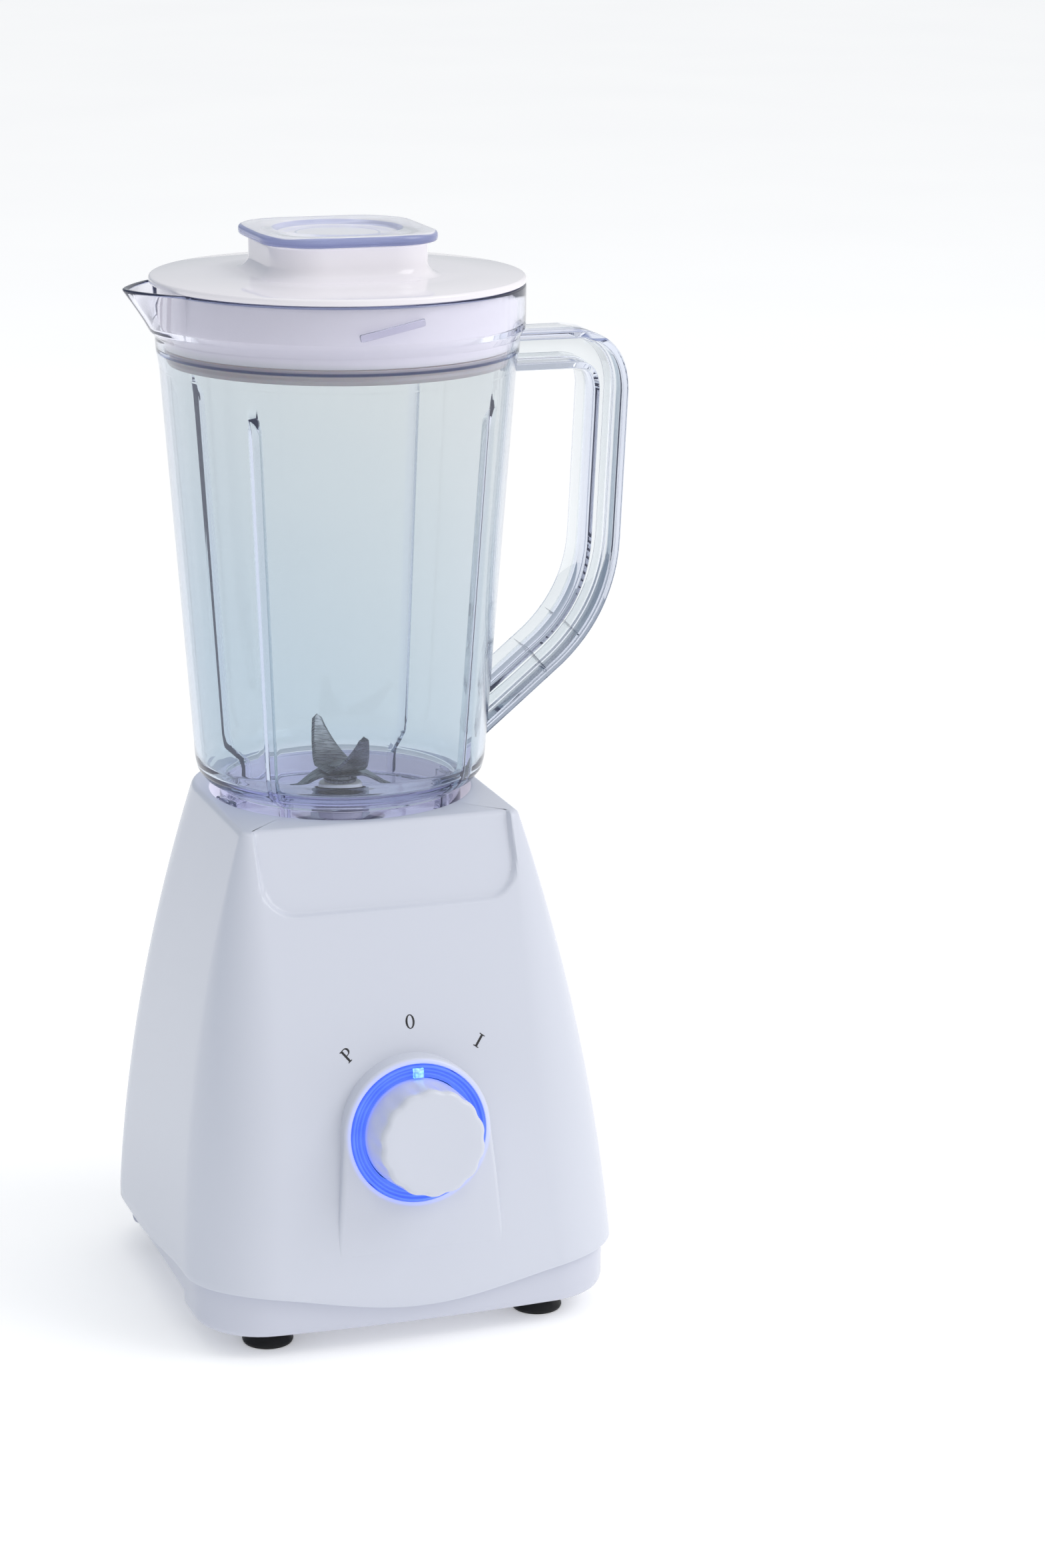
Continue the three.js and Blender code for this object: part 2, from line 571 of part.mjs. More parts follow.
const bladeShaft = () => rod(BLADE.shaftR, 150.8, 184.5);
const thrustWasher = () => tube(6, BLADE.boreR, 177.9, 180.4);
const drivenCoupling = () => lobed(9.2, 151, 160.2).subtract(rod(BLADE.boreR, 140, 170));
const bladeNut = () => turned([[3.3, 183.9], [5.2, 183.9], [4.6, 185.6], [3.3, 185.9], [3.3, 183.9]], 16);

// bent strip with two pointed wings, the same after half a turn; rise is the tips' height above the hub
function bentBlade(hubZ, reach, rise, width, tipWidth) {
  const t = BLADE.thickness;
  const bend = 7;
  const side = new THREE.Shape(points([
    [-reach, hubZ + rise], [-bend, hubZ], [bend, hubZ], [reach, hubZ + rise],
    [reach - t * 0.4, hubZ + rise + t], [bend - t * 0.3, hubZ + t],
    [-bend + t * 0.3, hubZ + t], [-reach + t * 0.4, hubZ + rise + t],
  ]));
  const half = width / 2;
  const plan = new THREE.Shape(points([
    [-reach - 1, -tipWidth], [-bend, -half], [bend, -half], [reach + 1, -tipWidth * 0.2],
    [reach + 1, tipWidth], [bend, half], [-bend, half], [-reach - 1, tipWidth * 0.2],
  ]));
  return plate(side, -width, width).intersect(prism(plan, hubZ - 20, hubZ + 40))
    .subtract(rod(BLADE.boreR, 150, 220));
}

const upperBlade = () => bentBlade(182.3, 19, 15, 15, 2.6).rotate([0, 0, 97]);
const lowerBlade = () => bentBlade(180.7, 18.5, -6, 13, 2).rotate([0, 0, -8]);

// ---------- lid ----------
function lid() {
  const bottom = JAR.rimZ + GAP;
  const { r, disc, skirtR, skirtBottom, skirtWall } = LID;
  const inner = skirtR - skirtWall;
  const profile = [[0, bottom], [skirtR, bottom], [inner, 343], [inner, skirtBottom], [skirtR, skirtBottom],
    [60.6, 339.3], [62.2, 343.4], [62.4, bottom], [r, bottom], [r, bottom + disc - 0.6],
    [r - 0.8, bottom + disc], [36, bottom + disc + 0.8], [0, bottom + disc + 0.8]];
  const neck = prism(roundedRect(LID.neck, LID.neck, LID.neckR), bottom, LID.neckTop);
  let solid = turned(profile, WIDE).add(neck);
  solid = solid.subtract(prism(roundedRect(LID.hole, LID.hole, LID.neckR - 2.5), 300, 400));
  for (const step of [-1, 0, 1]) {
    solid = solid.subtract(block([-70, -50], [step * 9 - 2, step * 9 + 2], [339, 353]));
  }
  return solid;
}

const lidSeal = () => turned([[56.8, 329.6], [58.9, 329.6], [59.7, 331], [60.1, 334.7],
  [56.8, 334.7], [56.8, 329.6]]);

function fillerCap() {
  const flangeBottom = CAP.top - CAP.flange;
  let cap = prism(roundedRect(CAP.side, CAP.side, CAP.radius), flangeBottom, CAP.top - 0.8);
  cap = cap.add(prism(roundedRect(CAP.side - 1.6, CAP.side - 1.6, CAP.radius), flangeBottom, CAP.top));
  cap = cap.add(prism(roundedRect(CAP.plug, CAP.plug, LID.neckR - 3), CAP.plugBottom, flangeBottom + 1));
  const hollow = roundedRect(CAP.plug - 4, CAP.plug - 4, LID.neckR - 5);
  cap = cap.subtract(prism(hollow, 340, CAP.top - CAP.dish - 2));
  return cap.subtract(rod(CAP.dishR, CAP.top - CAP.dish, 400, 36));
}

// ---------- assembly ----------
const blender = new THREE.Group();
blender.position.copy(AXIS);

function add(name, solid, finish, parent = blender) {
  parent.add(bodyMesh(name, solid, finish));
}

add('upper_housing', upperHousing(), 'whitePlastic');
add('lower_shell', lowerShell(), 'whitePlastic');
add('cord_gland', cordGland(), 'rubber');
const corners = ['front_left', 'front_right', 'rear_left', 'rear_right'];
corners.forEach((corner, i) => {
  const [x, y] = footSites[i];
  add(`suction_foot_${corner}`, suctionFoot().translate(x, y, 0), 'rubber');
  add(`foot_collar_${corner}`, footCollar().translate(x, y, 0), 'clearPlastic');
  const [sx, sy] = screwSites[i];
  add(`housing_screw_${corner}`, housingScrew().translate(sx, sy, 0), 'steel');
});

const control = new THREE.Group();
control.position.set(0, POD.y, POD.z);
control.rotation.x = Math.PI / 2 - POD.tilt;
blender.add(control);
add('control_knob', knob(), 'whitePlastic', control);
add('light_ring', lightRing(), 'bluePlastic', control);
add('indicator_window', indicator(), 'clearPlastic', control);
add('indicator_led', indicatorLed(), 'bluePlastic', control);
add('light_board', lightBoard(), 'board', control);
add('rotary_switch', switchBody(), 'greyPlastic', control);
add('switch_shaft', rod(KNOB.shaftR, -25.5, 11.5), 'steel', control);

add('motor_stator', stator(), 'lamination');
add('field_winding_left', fieldWinding(-1), 'copper');
add('field_winding_right', fieldWinding(1), 'copper');
add('motor_rotor', rotor(), 'lamination');
add('commutator', commutator(), 'copper');
add('motor_shaft', rod(MOTOR.shaftR, 29, 147.7), 'steel');
add('cooling_fan', fan(), 'greyPlastic');
add('upper_bearing_bracket', upperBracket(), 'lamination');
add('lower_bearing_bracket', lowerBracket(), 'lamination');
add('upper_bearing', bearing(123.3), 'steel');
add('lower_bearing', bearing(46.7), 'steel');
add('brush_holder_front', brushHolder(-1), 'greyPlastic');
add('brush_holder_rear', brushHolder(1), 'greyPlastic');
add('carbon_brush_front', brush(-1), 'carbon');
add('carbon_brush_rear', brush(1), 'carbon');
[[-1, -1], [1, -1], [-1, 1], [1, 1]].forEach(([x, y], i) => {
  add(`motor_mount_${corners[i]}`, motorMount().translate(MOTOR.post * x, MOTOR.post * y, 0), 'rubber');
});
add('drive_coupling', driveCoupling(), 'rubber');

add('jar_body', jarBody(), 'clearPlastic');
add('jar_handle', jarHandle(), 'clearPlastic');
add('blade_bearing_boss', bearingBoss(), 'whitePlastic');
add('blade_gasket', gasket(), 'rubber');
add('blade_retaining_nut', retainingNut(), 'greyPlastic');
add('blade_shaft', bladeShaft(), 'steel');
add('thrust_washer', thrustWasher(), 'steel');
add('lower_blade', lowerBlade(), 'steel');
add('upper_blade', upperBlade(), 'steel');
add('blade_nut', bladeNut(), 'steel');
add('driven_coupling', drivenCoupling(), 'rubber');

add('lid', lid(), 'whitePlastic');
add('lid_seal', lidSeal(), 'seal');
add('filler_cap', fillerCap(), 'clearPlastic');

export default blender;
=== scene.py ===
"""Looks of the countertop blender: white motor base, lit rotary control, clear jar, lid and filler cap."""

import json
from math import atan, atan2, ceil, cos, dist, hypot, pi, radians, sin, sqrt, tan

import bmesh
import bpy
from mathutils import Matrix, Vector


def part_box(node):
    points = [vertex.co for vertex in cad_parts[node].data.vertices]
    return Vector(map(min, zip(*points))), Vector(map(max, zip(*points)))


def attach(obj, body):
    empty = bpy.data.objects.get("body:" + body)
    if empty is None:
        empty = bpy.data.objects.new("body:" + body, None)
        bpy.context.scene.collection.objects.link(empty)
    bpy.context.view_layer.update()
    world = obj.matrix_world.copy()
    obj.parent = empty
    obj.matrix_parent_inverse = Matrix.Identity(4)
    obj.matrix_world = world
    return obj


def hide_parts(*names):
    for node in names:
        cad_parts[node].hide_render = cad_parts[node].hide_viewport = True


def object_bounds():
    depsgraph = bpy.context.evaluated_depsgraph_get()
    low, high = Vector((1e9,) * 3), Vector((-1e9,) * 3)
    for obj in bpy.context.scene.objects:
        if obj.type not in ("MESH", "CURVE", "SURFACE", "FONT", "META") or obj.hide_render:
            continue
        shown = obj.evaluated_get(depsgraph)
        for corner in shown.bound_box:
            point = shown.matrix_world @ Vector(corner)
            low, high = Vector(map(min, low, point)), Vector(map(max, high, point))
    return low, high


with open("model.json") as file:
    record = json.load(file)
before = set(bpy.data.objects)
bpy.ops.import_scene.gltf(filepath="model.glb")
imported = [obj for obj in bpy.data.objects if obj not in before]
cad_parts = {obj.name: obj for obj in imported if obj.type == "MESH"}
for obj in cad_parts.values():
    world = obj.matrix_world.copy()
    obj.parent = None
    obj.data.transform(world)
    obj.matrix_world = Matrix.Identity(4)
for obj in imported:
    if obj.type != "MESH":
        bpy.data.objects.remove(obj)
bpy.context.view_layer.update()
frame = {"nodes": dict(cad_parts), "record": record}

MM = 0.001
SHAFT_LOW, SHAFT_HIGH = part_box("motor_shaft")
AXIS = (SHAFT_LOW + SHAFT_HIGH) / 2          # the jar and motor axis; shapes below are in mm from it

# ---------- driving dimensions, mm ----------
BASE_BOTTOM, FULL_WIDTH, BASE_TOP = 8.0, 23.0, 176.3
HALF_WIDTH, FRONT, BACK, CROWN = (77.5, 50.0), (99.0, 53.5), (50.0, 50.5), 3.5
SIDE_CURVE, FRONT_CURVE, CROWN_FADE = 0.26, 0.43, 0.6
FRONT_CORNER, BACK_CORNER = (28, 12, -36), (28, 10)   # radius at the foot and how it changes
WALL, LIP, SKIN_FOOT = 2.8, 1.6, 31
RECESS_R, RECESS_FLOOR, SHAFT_HOLE = 46.5, 163.0, 16.0
PART_CENTRE, PART_CORNER, PART_SIDE, PART_SPAN, PART_FRONT = 15.5, 25.0, 18.5, 72.0, 70.0
SHELL_INSET, SHELL_TOP = 3.2, 27.0
ARCH_X, ARCH_FRONT, ARCH_BACK, ARCH_TOP = 62.0, -57.0, 24.0, 14.5
FOOT_X, FOOT_FRONT, FOOT_BACK = 49.4, -75.6, 30.0
FACET_HALF, FACET_R, FACET_LOW, FACET_DEPTH = 46.0, 12.0, 149.0, (2.6, 2.0)
FACET_HOLLOW, FACET_FADE, FACET_SOFT = 0.9, 0.6, 1.5
LEG_TUCK, LEG_TOP, SCREW_X, SCREW_Y = 1.6, 12.5, 60, (-58, 18)
POD_Y, POD_Z, POD_TILT, POD_R, POD_FLARE, POD_DROP = -93.6, 77.0, 0.12, 26.3, 31.0, 49.0
TILT_S, TILT_C = sin(POD_TILT), cos(POD_TILT)
POD_EDGE, POD_LEVEL_END, RING_OUT, RING_IN = 1.7, -14, 23.8, 19.6
KNOB_R, KNOB_FACE, SCALLOPS = 19.2, 17.5, 14
RIM_Z, RIM_R, JAR_WALL = 356.4, 65.2, 2.3
CONE_LOW, CONE_HIGH = (51.6, 188.0), (61.2, 317.0)
COLLAR_R, COLLAR_LOW, FLOOR_Z = 43.0, 163.3, 171.5
SPOUT_REACH, SPOUT_HALF, SPOUT_LOW = 11.1, 0.36, 339.0
RIBS, RIB_TOP, RIB_DEPTH = (45, 135, 225, 315), 318, 3.0
BLADE_HUB, UPPER_TURN, LOWER_TURN = 5.5, 97, -8
NECK, NECK_R, NECK_TOP, HOLE = 56.0, 16.0, 371.0, 51.0
CAP_SIDE, CAP_R, CAP_TOP, PLUG, PLUG_LOW = 62.5, 18.0, 375.2, 50.0, 352.0


# ---------- shapes: each is (points, faces), in mm ----------
def loft(rings, wrap=False, caps=True):
    """Faces between rings of equal length; wrap joins the last ring to the first."""
    count = len(rings[0])
    points = [p for ring in rings for p in ring]
    faces = []
    for k in range(len(rings) if wrap else len(rings) - 1):
        a, b = k * count, ((k + 1) % len(rings)) * count
        for i in range(count):
            j = (i + 1) % count
            faces.append((a + i, a + j, b + j, b + i))
    if caps and not wrap:
        faces.append(tuple(range(count))[::-1])
        faces.append(tuple(range((len(rings) - 1) * count, len(rings) * count)))
    return points, faces


def rounded(path, steps=4, closed=True):
    """A 2-D path of (x, y, radius) corners as points, each corner turned by its radius."""
    out = []
    for i, (x, y, radius) in enumerate(path):
        corner = Vector((x, y))
        if radius == 0 or (not closed and i in (0, len(path) - 1)):
            out.append((x, y))
            continue
        before = Vector(path[i - 1][:2]) - corner
        after = Vector(path[(i + 1) % len(path)][:2]) - corner
        half = before.angle(after) / 2
        cut = min(radius / tan(half), before.length * 0.49, after.length * 0.49)
        before.normalize()
        after.normalize()
        reach = cut / cos(half)
        centre = corner + (before + after).normalized() * reach
        start, end = corner + before * cut - centre, corner + after * cut - centre
        sweep = start.angle_signed(end)
        for k in range(steps + 1):
            spoke = start.copy()
            spoke.rotate(Matrix.Rotation(-sweep * k / steps, 2))
            out.append(tuple(centre + spoke))
    return out


def around(count, shift=0.0):
    return [2 * pi * (i + shift) / count for i in range(count)]


def round_ring(radius, z, angles):
    return [(radius * cos(a), radius * sin(a), z) for a in angles]


def ring_toward(points, radius, z):
    """A circle whose points lie in the same directions as other points."""
    return round_ring(radius, z, [atan2(point[1], point[0]) for point in points])


def lathe(profile, count=96):
    """A closed (radius, height) profile turned round the axis."""
    return loft([round_ring(r, z, around(count)) for r, z in profile], wrap=True)


def rounded_plan(x0, x1, y0, y1, radius, steps):
    return rounded([(x0, y0, radius), (x1, y0, radius), (x1, y1, radius), (x0, y1, radius)], steps)


def rounded_block(low, high, radius, steps=3):
    """A box from low to high whose upright corners are rounded."""
    plan = rounded_plan(low[0], high[0], low[1], high[1], radius, steps)
    return loft([[(x, y, z) for x, y in plan] for z in (low[2], high[2])])


def moved(shape, x=0.0, y=0.0, z=0.0, turn=0.0):
    """A shape turned about Z, then shifted."""
    c, s = cos(turn), sin(turn)
    return [(c * a - s * b + x, s * a + c * b + y, h + z) for a, b, h in shape[0]], shape[1]


def joined(*shapes):
    points, faces = [], []
    for shape in shapes:
        start = len(points)
        points += shape[0]
        faces += [tuple(start + i for i in face) for face in shape[1]]
    return points, faces


def rounded_square(angle, side, radius):
    """Distance from the middle to a rounded square's edge in a direction."""
    half = side / 2
    c, s = abs(cos(angle)), abs(sin(angle))
    low, high = min(c, s), max(c, s)
    flat = half / high
    if flat * low <= half - radius:
        return flat
    k = half - radius
    along = k * (c + s)
    return along + sqrt(max(0.0, along * along - 2 * k * k + radius * radius))


def control(u, v, w):
    """A point of the control's own tilted frame: u right, v up its face, w out of it."""
    return u, POD_Y + v * TILT_S - w * TILT_C, POD_Z + v * TILT_C + w * TILT_S


def on_control(shape):
    return [control(*p) for p in shape[0]], shape[1]


# ---------- objects ----------
def add_object(name, data):
    """An object in the scene for a mesh, camera or lamp."""
    obj = bpy.data.objects.new(name, data)
    bpy.context.scene.collection.objects.link(obj)
    return obj


def to_mesh(name, shape):
    """An object from a shape, with clean outward normals."""
    mesh = bpy.data.meshes.new(name)
    mesh.from_pydata([(AXIS.x + x * MM, AXIS.y + y * MM, z * MM) for x, y, z in shape[0]], [], shape[1])
    bm = bmesh.new()
    bm.from_mesh(mesh)
    bmesh.ops.remove_doubles(bm, verts=bm.verts, dist=1e-7)
    bmesh.ops.dissolve_degenerate(bm, edges=bm.edges, dist=1e-8)
    bmesh.ops.recalc_face_normals(bm, faces=bm.faces)
    bm.to_mesh(mesh)
    bm.free()
    return add_object(name, mesh)


def carve(obj, shape):
    """Cuts a shape out of an object."""
    cutter = to_mesh("cutter", shape)
    step = obj.modifiers.new("cut", "BOOLEAN")
    step.operation, step.solver, step.object = "DIFFERENCE", "EXACT", cutter
    graph = bpy.context.evaluated_depsgraph_get()
    mesh = bpy.data.meshes.new_from_object(obj.evaluated_get(graph))
    obj.modifiers.clear()
    obj.data = mesh
    bpy.data.objects.remove(cutter)


def dress(obj, material, body, node=None, sharp=38.0):
    """Smooth shading, finish, and the CAD body and node that a piece belongs to."""
    mesh = obj.data
    mesh.polygons.foreach_set("use_smooth", [True] * len(mesh.polygons))
    mesh.set_sharp_from_angle(angle=radians(sharp))
    mesh.materials.clear()
    mesh.materials.append(material)
    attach(obj, body)
    if node:
        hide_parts(node)


def piece(name, shape, material, body, node=None, sharp=38.0):
    dress(to_mesh(name, shape), material, body, node, sharp)


# ---------- materials; the owner of nodes is a material or the world ----------
NOISE_SPAN = (0.3, 0.7)          # where a noise pattern's values mostly lie
RAMP_ENDS = (0.28, 0.72)
BUMP_DEPTH = 0.0002
# the lines drawn below are painted shade lines
LINE_FADE = 0.3                  # mm over which a drawn line fades out
# these shares also set how much painted shade the clear plastics get
RISE_SHARES = (0.28, 0.64)       # low and high shares of the jar's tint


def feed(owner, socket, value):
    """Links a socket to another node's output, or sets its value."""
    if isinstance(value, bpy.types.NodeSocket):
        owner.node_tree.links.new(value, socket)
    else:
        socket.default_value = value


def add_node(owner, kind, *ordered, mode=None, **named):
    """A shader node with its inputs in order or by name; _ in a name stands for a space."""
    node = owner.node_tree.nodes.new("ShaderNode" + kind)
    if mode:
        node.operation = mode
    for socket, value in zip(node.inputs, ordered):
        feed(owner, socket, value)
    for key, value in named.items():
        feed(owner, node.inputs[key.replace("_", " ")], value)
    return node


def adjust(material, **inputs):
    """Sets or links inputs of a material's Principled shader."""
    target = material.node_tree.nodes["Principled BSDF"]
    for key, value in inputs.items():
        feed(material, target.inputs[key.replace("_", " ")], value)


def shader(name, colour, **inputs):
    material = bpy.data.materials.new(name)
    material.use_nodes = True
    adjust(material, Base_Color=(*colour, 1), **inputs)
    return material


def glow(material, colour, strength):
    adjust(material, Emission_Color=(*colour, 1), Emission_Strength=strength)


def place_of(material):
    return add_node(material, "TexCoord").outputs["Object"]


def noise(material, scale, detail=3.0, stretch=(1, 1, 1)):
    mapping = add_node(material, "Mapping", Vector=place_of(material), Scale=stretch)
    grain = add_node(material, "TexNoise", Vector=mapping.outputs["Vector"], Scale=scale, Detail=detail)
    return grain.outputs["Fac"]


def map_range(owner, value, span, results, curve="LINEAR"):
    """Turns a value's run over a span into a run from the first result to the second."""
    node = add_node(owner, "MapRange", Value=value, From_Min=span[0], From_Max=span[1],
                    To_Min=results[0], To_Max=results[1])
    node.interpolation_type = curve
    return node.outputs["Result"]


def surface(material, fac, rough, bump):
    """Roughness and bump from one pattern."""
    adjust(material, Roughness=map_range(material, fac, NOISE_SPAN, rough))
    node = add_node(material, "Bump", Strength=bump, Distance=BUMP_DEPTH, Height=fac)
    adjust(material, Normal=node.outputs["Normal"])


def shades(material, fac, low, high):
    """Base colour that wanders between two shades; gives the ramp's stops."""
    ramp = add_node(material, "ValToRGB", fac)
    stops = ramp.color_ramp.elements
    stops[0].position, stops[1].position = RAMP_ENDS
    stops[0].color, stops[1].color = (*low, 1), (*high, 1)
    adjust(material, Base_Color=ramp.outputs["Color"])
    return stops


def white_plastic(name="white_gloss", low=(0.61, 0.635, 0.718), high=(0.62, 0.645, 0.728),
                  rough=(0.256, 0.262)):
    """Gloss white moulding, very slightly uneven."""
    material = shader(name, high, IOR=1.5, Coat_Weight=0.08, Coat_Roughness=0.1, Specular_IOR_Level=0.36)
    shades(material, noise(material, 9, 1), low, high)
    surface(material, noise(material, 30, 3), rough, 0.02)
    return material


def lid_plastic():
    """Warmer, glossier white; what is below the rim glows faintly, as the clear wall lights it."""
    material = white_plastic("lid_gloss", (0.81, 0.785, 0.825), (0.825, 0.80, 0.84), (0.06, 0.075))
    glow(material, (1.0, 0.96, 0.97), height_range(material, (RIM_Z - 1, RIM_Z + 0.5), (0.08, 0.0)))
    return material


def height_range(material, heights, results):
    """A value that runs from the first result to the second between two heights, in mm."""
    split = add_node(material, "SeparateXYZ", Vector=place_of(material))
    return map_range(material, split.outputs["Z"], [height * MM for height in heights], results)


def banded(material, share, low, high, bands, line):
    """Tints the base colour in bands of a measure whose run from low to high is given as a share."""
    ramp = add_node(material, "ValToRGB", share)
    stops = ramp.color_ramp.elements
    # the dark colour paints lines of shade
    clear, dark = (1, 1, 1, 1), (*line, 1)
    stops[0].color = stops[1].color = clear
    for start, stop in bands:
        edges = (start - LINE_FADE, start, stop, stop + LINE_FADE)
        for place, colour in zip(edges, (clear, dark, dark, clear)):
            stops.new((place - low) / (high - low)).color = colour
    both = add_node(material, "Mix")
    both.data_type, both.blend_type = "RGBA", "MULTIPLY"
    feed(material, both.inputs["Factor"], 1.0)
    target = material.node_tree.nodes["Principled BSDF"].inputs["Base Color"]
    feed(material, both.inputs[6], target.links[0].from_socket)
    feed(material, both.inputs[7], ramp.outputs["Color"])
    feed(material, target, both.outputs[2])


def painted_edge_lines(material):
    """Painted dark lines at the step under the rim and at the rim, standing in for the shade where the clear
    wall is seen on end.
    """
    low, high = 330, 380
    share = height_range(material, (low, high), (0.0, 1.0))
    # painted shade: dark navy bands
    banded(material, share, low, high, ((333.1, 333.8), (355.8, 356.6)), (0.16, 0.2, 0.4))


def from_axis(material):
    """The level vector from the jar's axis to a place, in metres."""
    return add_node(material, "VectorMath", place_of(material), (1, 1, 0), (-AXIS.x, -AXIS.y, 0),
                    mode="MULTIPLY_ADD").outputs["Vector"]


def length_of(material, vector):
    return add_node(material, "VectorMath", vector, mode="LENGTH").outputs["Value"]


def painted_cap_lines(material):
    """Painted shade lines: violet ones round the cap's dish and a navy one round its square flange, where
    its clear edges look dark.
    """
    level = from_axis(material)
    squares = add_node(material, "VectorMath", level, level, mode="MULTIPLY").outputs["Vector"]
    root = add_node(material, "Math", length_of(material, squares), mode="SQRT").outputs["Value"]
    reach = 40
    shares = [add_node(material, "Math", value, 1 / (reach * MM), mode="MULTIPLY").outputs["Value"]
              for value in (length_of(material, level), root)]
    # painted shade: dark bands at the dish's edges and over the flange
    banded(material, shares[0], 0, reach, ((20.9, 22.6),), (0.62, 0.65, 0.82))
    banded(material, shares[0], 0, reach, ((14.2, 14.7),), (0.75, 0.78, 0.88))
    banded(material, shares[1], 0, reach, ((30.6, 39.0),), (0.3, 0.34, 0.56))


def clear_plastic(name, low, high, tint, density, transmission=1.0):
    """Clear blue-tinted moulding, painted bluer and darker low down and to the left as shade, and painted
    clearer under the floor and at the rim as light; thick edges gather a tint; lamps shine through it.
    """
    material = shader(name, high, IOR=1.49, Transmission_Weight=transmission)
    stops = shades(material, tint_and_shade_share(material), low, high)
    for place, colour in ((0.02, (0.93, 0.93, 0.98)), (0.1, low), (0.95, (0.97, 0.965, 0.975))):
        stops.new(place).color = (*colour, 1)
    surface(material, noise(material, 40, 1), (0.0, 0.012), 0.002)
    # faint painted blue glow
    glow(material, (0.004, 0.005, 0.010), 1.0)
    nodes = material.node_tree.nodes
    inside = add_node(material, "VolumeAbsorption", Color=(*tint, 1), Density=density)
    feed(material, nodes["Material Output"].inputs["Volume"], inside.outputs["Volume"])
    lamp_ray = add_node(material, "LightPath").outputs["Is Shadow Ray"]
    through = add_node(material, "BsdfTransparent", Color=(0.985, 0.985, 1.0, 1))
    mix = add_node(material, "MixShader", lamp_ray, nodes["Principled BSDF"].outputs["BSDF"],
                   through.outputs["BSDF"])
    feed(material, nodes["Material Output"].inputs["Surface"], mix.outputs["Shader"])
    painted_edge_lines(material)
    return material


def tint_and_shade_share(material):
    """Grows upwards and from left to right as painted shade, faintly cloudy; low under the floor and at the
    rim, where the jar is painted lighter.
    """
    slant = add_node(material, "VectorMath", place_of(material), (0.6, 0, 1), mode="DOT_PRODUCT")
    # painted shade: darker and bluer towards the lower left
    rise = map_range(material, slant.outputs["Value"], (0.19, 0.33), RISE_SHARES)
    cloud = add_node(material, "Math", noise(material, 10), 0.1, rise, mode="MULTIPLY_ADD")
    # painted light: the jar is left clear under its floor
    above_floor = height_range(material, (178, 186), (0.0, 1.0))
    # painted light: lighter at the rim, over the lid's skirt
    rim = height_range(material, (334, 338), (0.0, 0.35))
    return add_node(material, "Math", cloud.outputs["Value"], above_floor, rim,
                    mode="MULTIPLY_ADD").outputs["Value"]


def control_place(material):
    """Coordinates in the control's own tilted frame."""
    x, y, z = control(0, 0, 0)
    mapping = add_node(material, "Mapping", Vector=place_of(material), Rotation=(pi / 2 - POD_TILT, 0, 0),
                       Location=(AXIS.x + x * MM, AXIS.y + y * MM, z * MM))
    mapping.vector_type = "TEXTURE"
    return mapping.outputs["Vector"]


def lit_plastic():
    """Translucent blue ring with the light behind it, in fine concentric bands."""
    material = shader("lit_blue", (0.12, 0.2, 0.9), IOR=1.49, Specular_IOR_Level=0.25)
    shades(material, noise(material, 90), (0.03, 0.06, 0.6), (0.08, 0.14, 0.75))
    surface(material, noise(material, 400, 2), (0.06, 0.16), 0.05)
    bands = add_node(material, "TexWave", Vector=control_place(material), Scale=250.0, Distortion=0.6)
    bands.wave_type, bands.rings_direction = "RINGS", "Z"
    glow(material, (0.1, 0.21, 0.97), map_range(material, bands.outputs["Fac"], NOISE_SPAN, (0.55, 0.85)))
    return material


def plain(name, colour, low, high, scales, rough, bump, **inputs):
    """Two wandering shades and a finer grain; scales are those of the two patterns."""
    material = shader(name, colour, **inputs)
    shades(material, noise(material, scales[0]), low, high)
    surface(material, noise(material, scales[1]), rough, bump)
    return material


def streaked(name, colour, low, high, pattern, rough, bump, metallic=1.0):
    """A metal whose shades and roughness share one (scale, detail, stretch) pattern."""
    material = shader(name, colour, Metallic=metallic)
    grain = noise(material, *pattern)
    shades(material, grain, low, high)
    surface(material, grain, rough, bump)
    return material


def brushed(name, low, high):
    return streaked(name, high, low, high, (220, 4, (1, 14, 1)), (0.2, 0.38), 0.12)


def pod_plastic():
    """The white plastic with the ring's blue light falling on it close to the ring."""
    material = white_plastic("control_gloss")
    split = add_node(material, "SeparateXYZ", Vector=control_place(material))
    flat = add_node(material, "CombineXYZ", X=split.outputs["X"], Y=split.outputs["Y"])
    span = ((RING_OUT + 0.1) * MM, (RING_OUT + 2.7) * MM)
    reach = length_of(material, flat.outputs["Vector"])
    glow(material, (0.06, 0.14, 1.0), map_range(material, reach, span, (0.55, 0.0), "SMOOTHERSTEP"))
    return material


def light_in_well(material):
    """The light that the clear jar gathers in its seat."""
    span = ((RECESS_R + 0.1) * MM, (RECESS_R + 0.5) * MM)
    fall = map_range(material, length_of(material, from_axis(material)), span, (0.3, 0.0))
    glow(material, (0.95, 0.86, 0.88), fall)


def glow_near_foot(material):
    """The ring's light on the foot of the knob, fading up its side."""
    normal = Vector(control(0, 0, 1)) - Vector(control(0, 0, 0))
    out = add_node(material, "VectorMath", place_of(material), normal, mode="DOT_PRODUCT")
    start = normal.dot(Vector((AXIS.x, AXIS.y, 0)) + Vector(control(0, 0, 0)) * MM)
    span = (start, start + 3.2 * MM)
    fall = map_range(material, out.outputs["Value"], span, (0.25, 0.0), "SMOOTHERSTEP")
    glow(material, (0.08, 0.16, 1.0), fall)


def sparkling():
    """The window's clear facets, unevenly lit from behind."""
    material = shader("window_clear", (0.6, 0.8, 1.0), IOR=1.49, Transmission_Weight=0.5)
    shades(material, noise(material, 700, 1), (0.1, 0.35, 1.0), (0.75, 0.95, 1.0))
    surface(material, noise(material, 500, 1), (0.02, 0.1), 0.4)
    glow(material, (0.25, 0.55, 1.0), map_range(material, noise(material, 900, 1), NOISE_SPAN, (0.05, 1.0)))
    return material


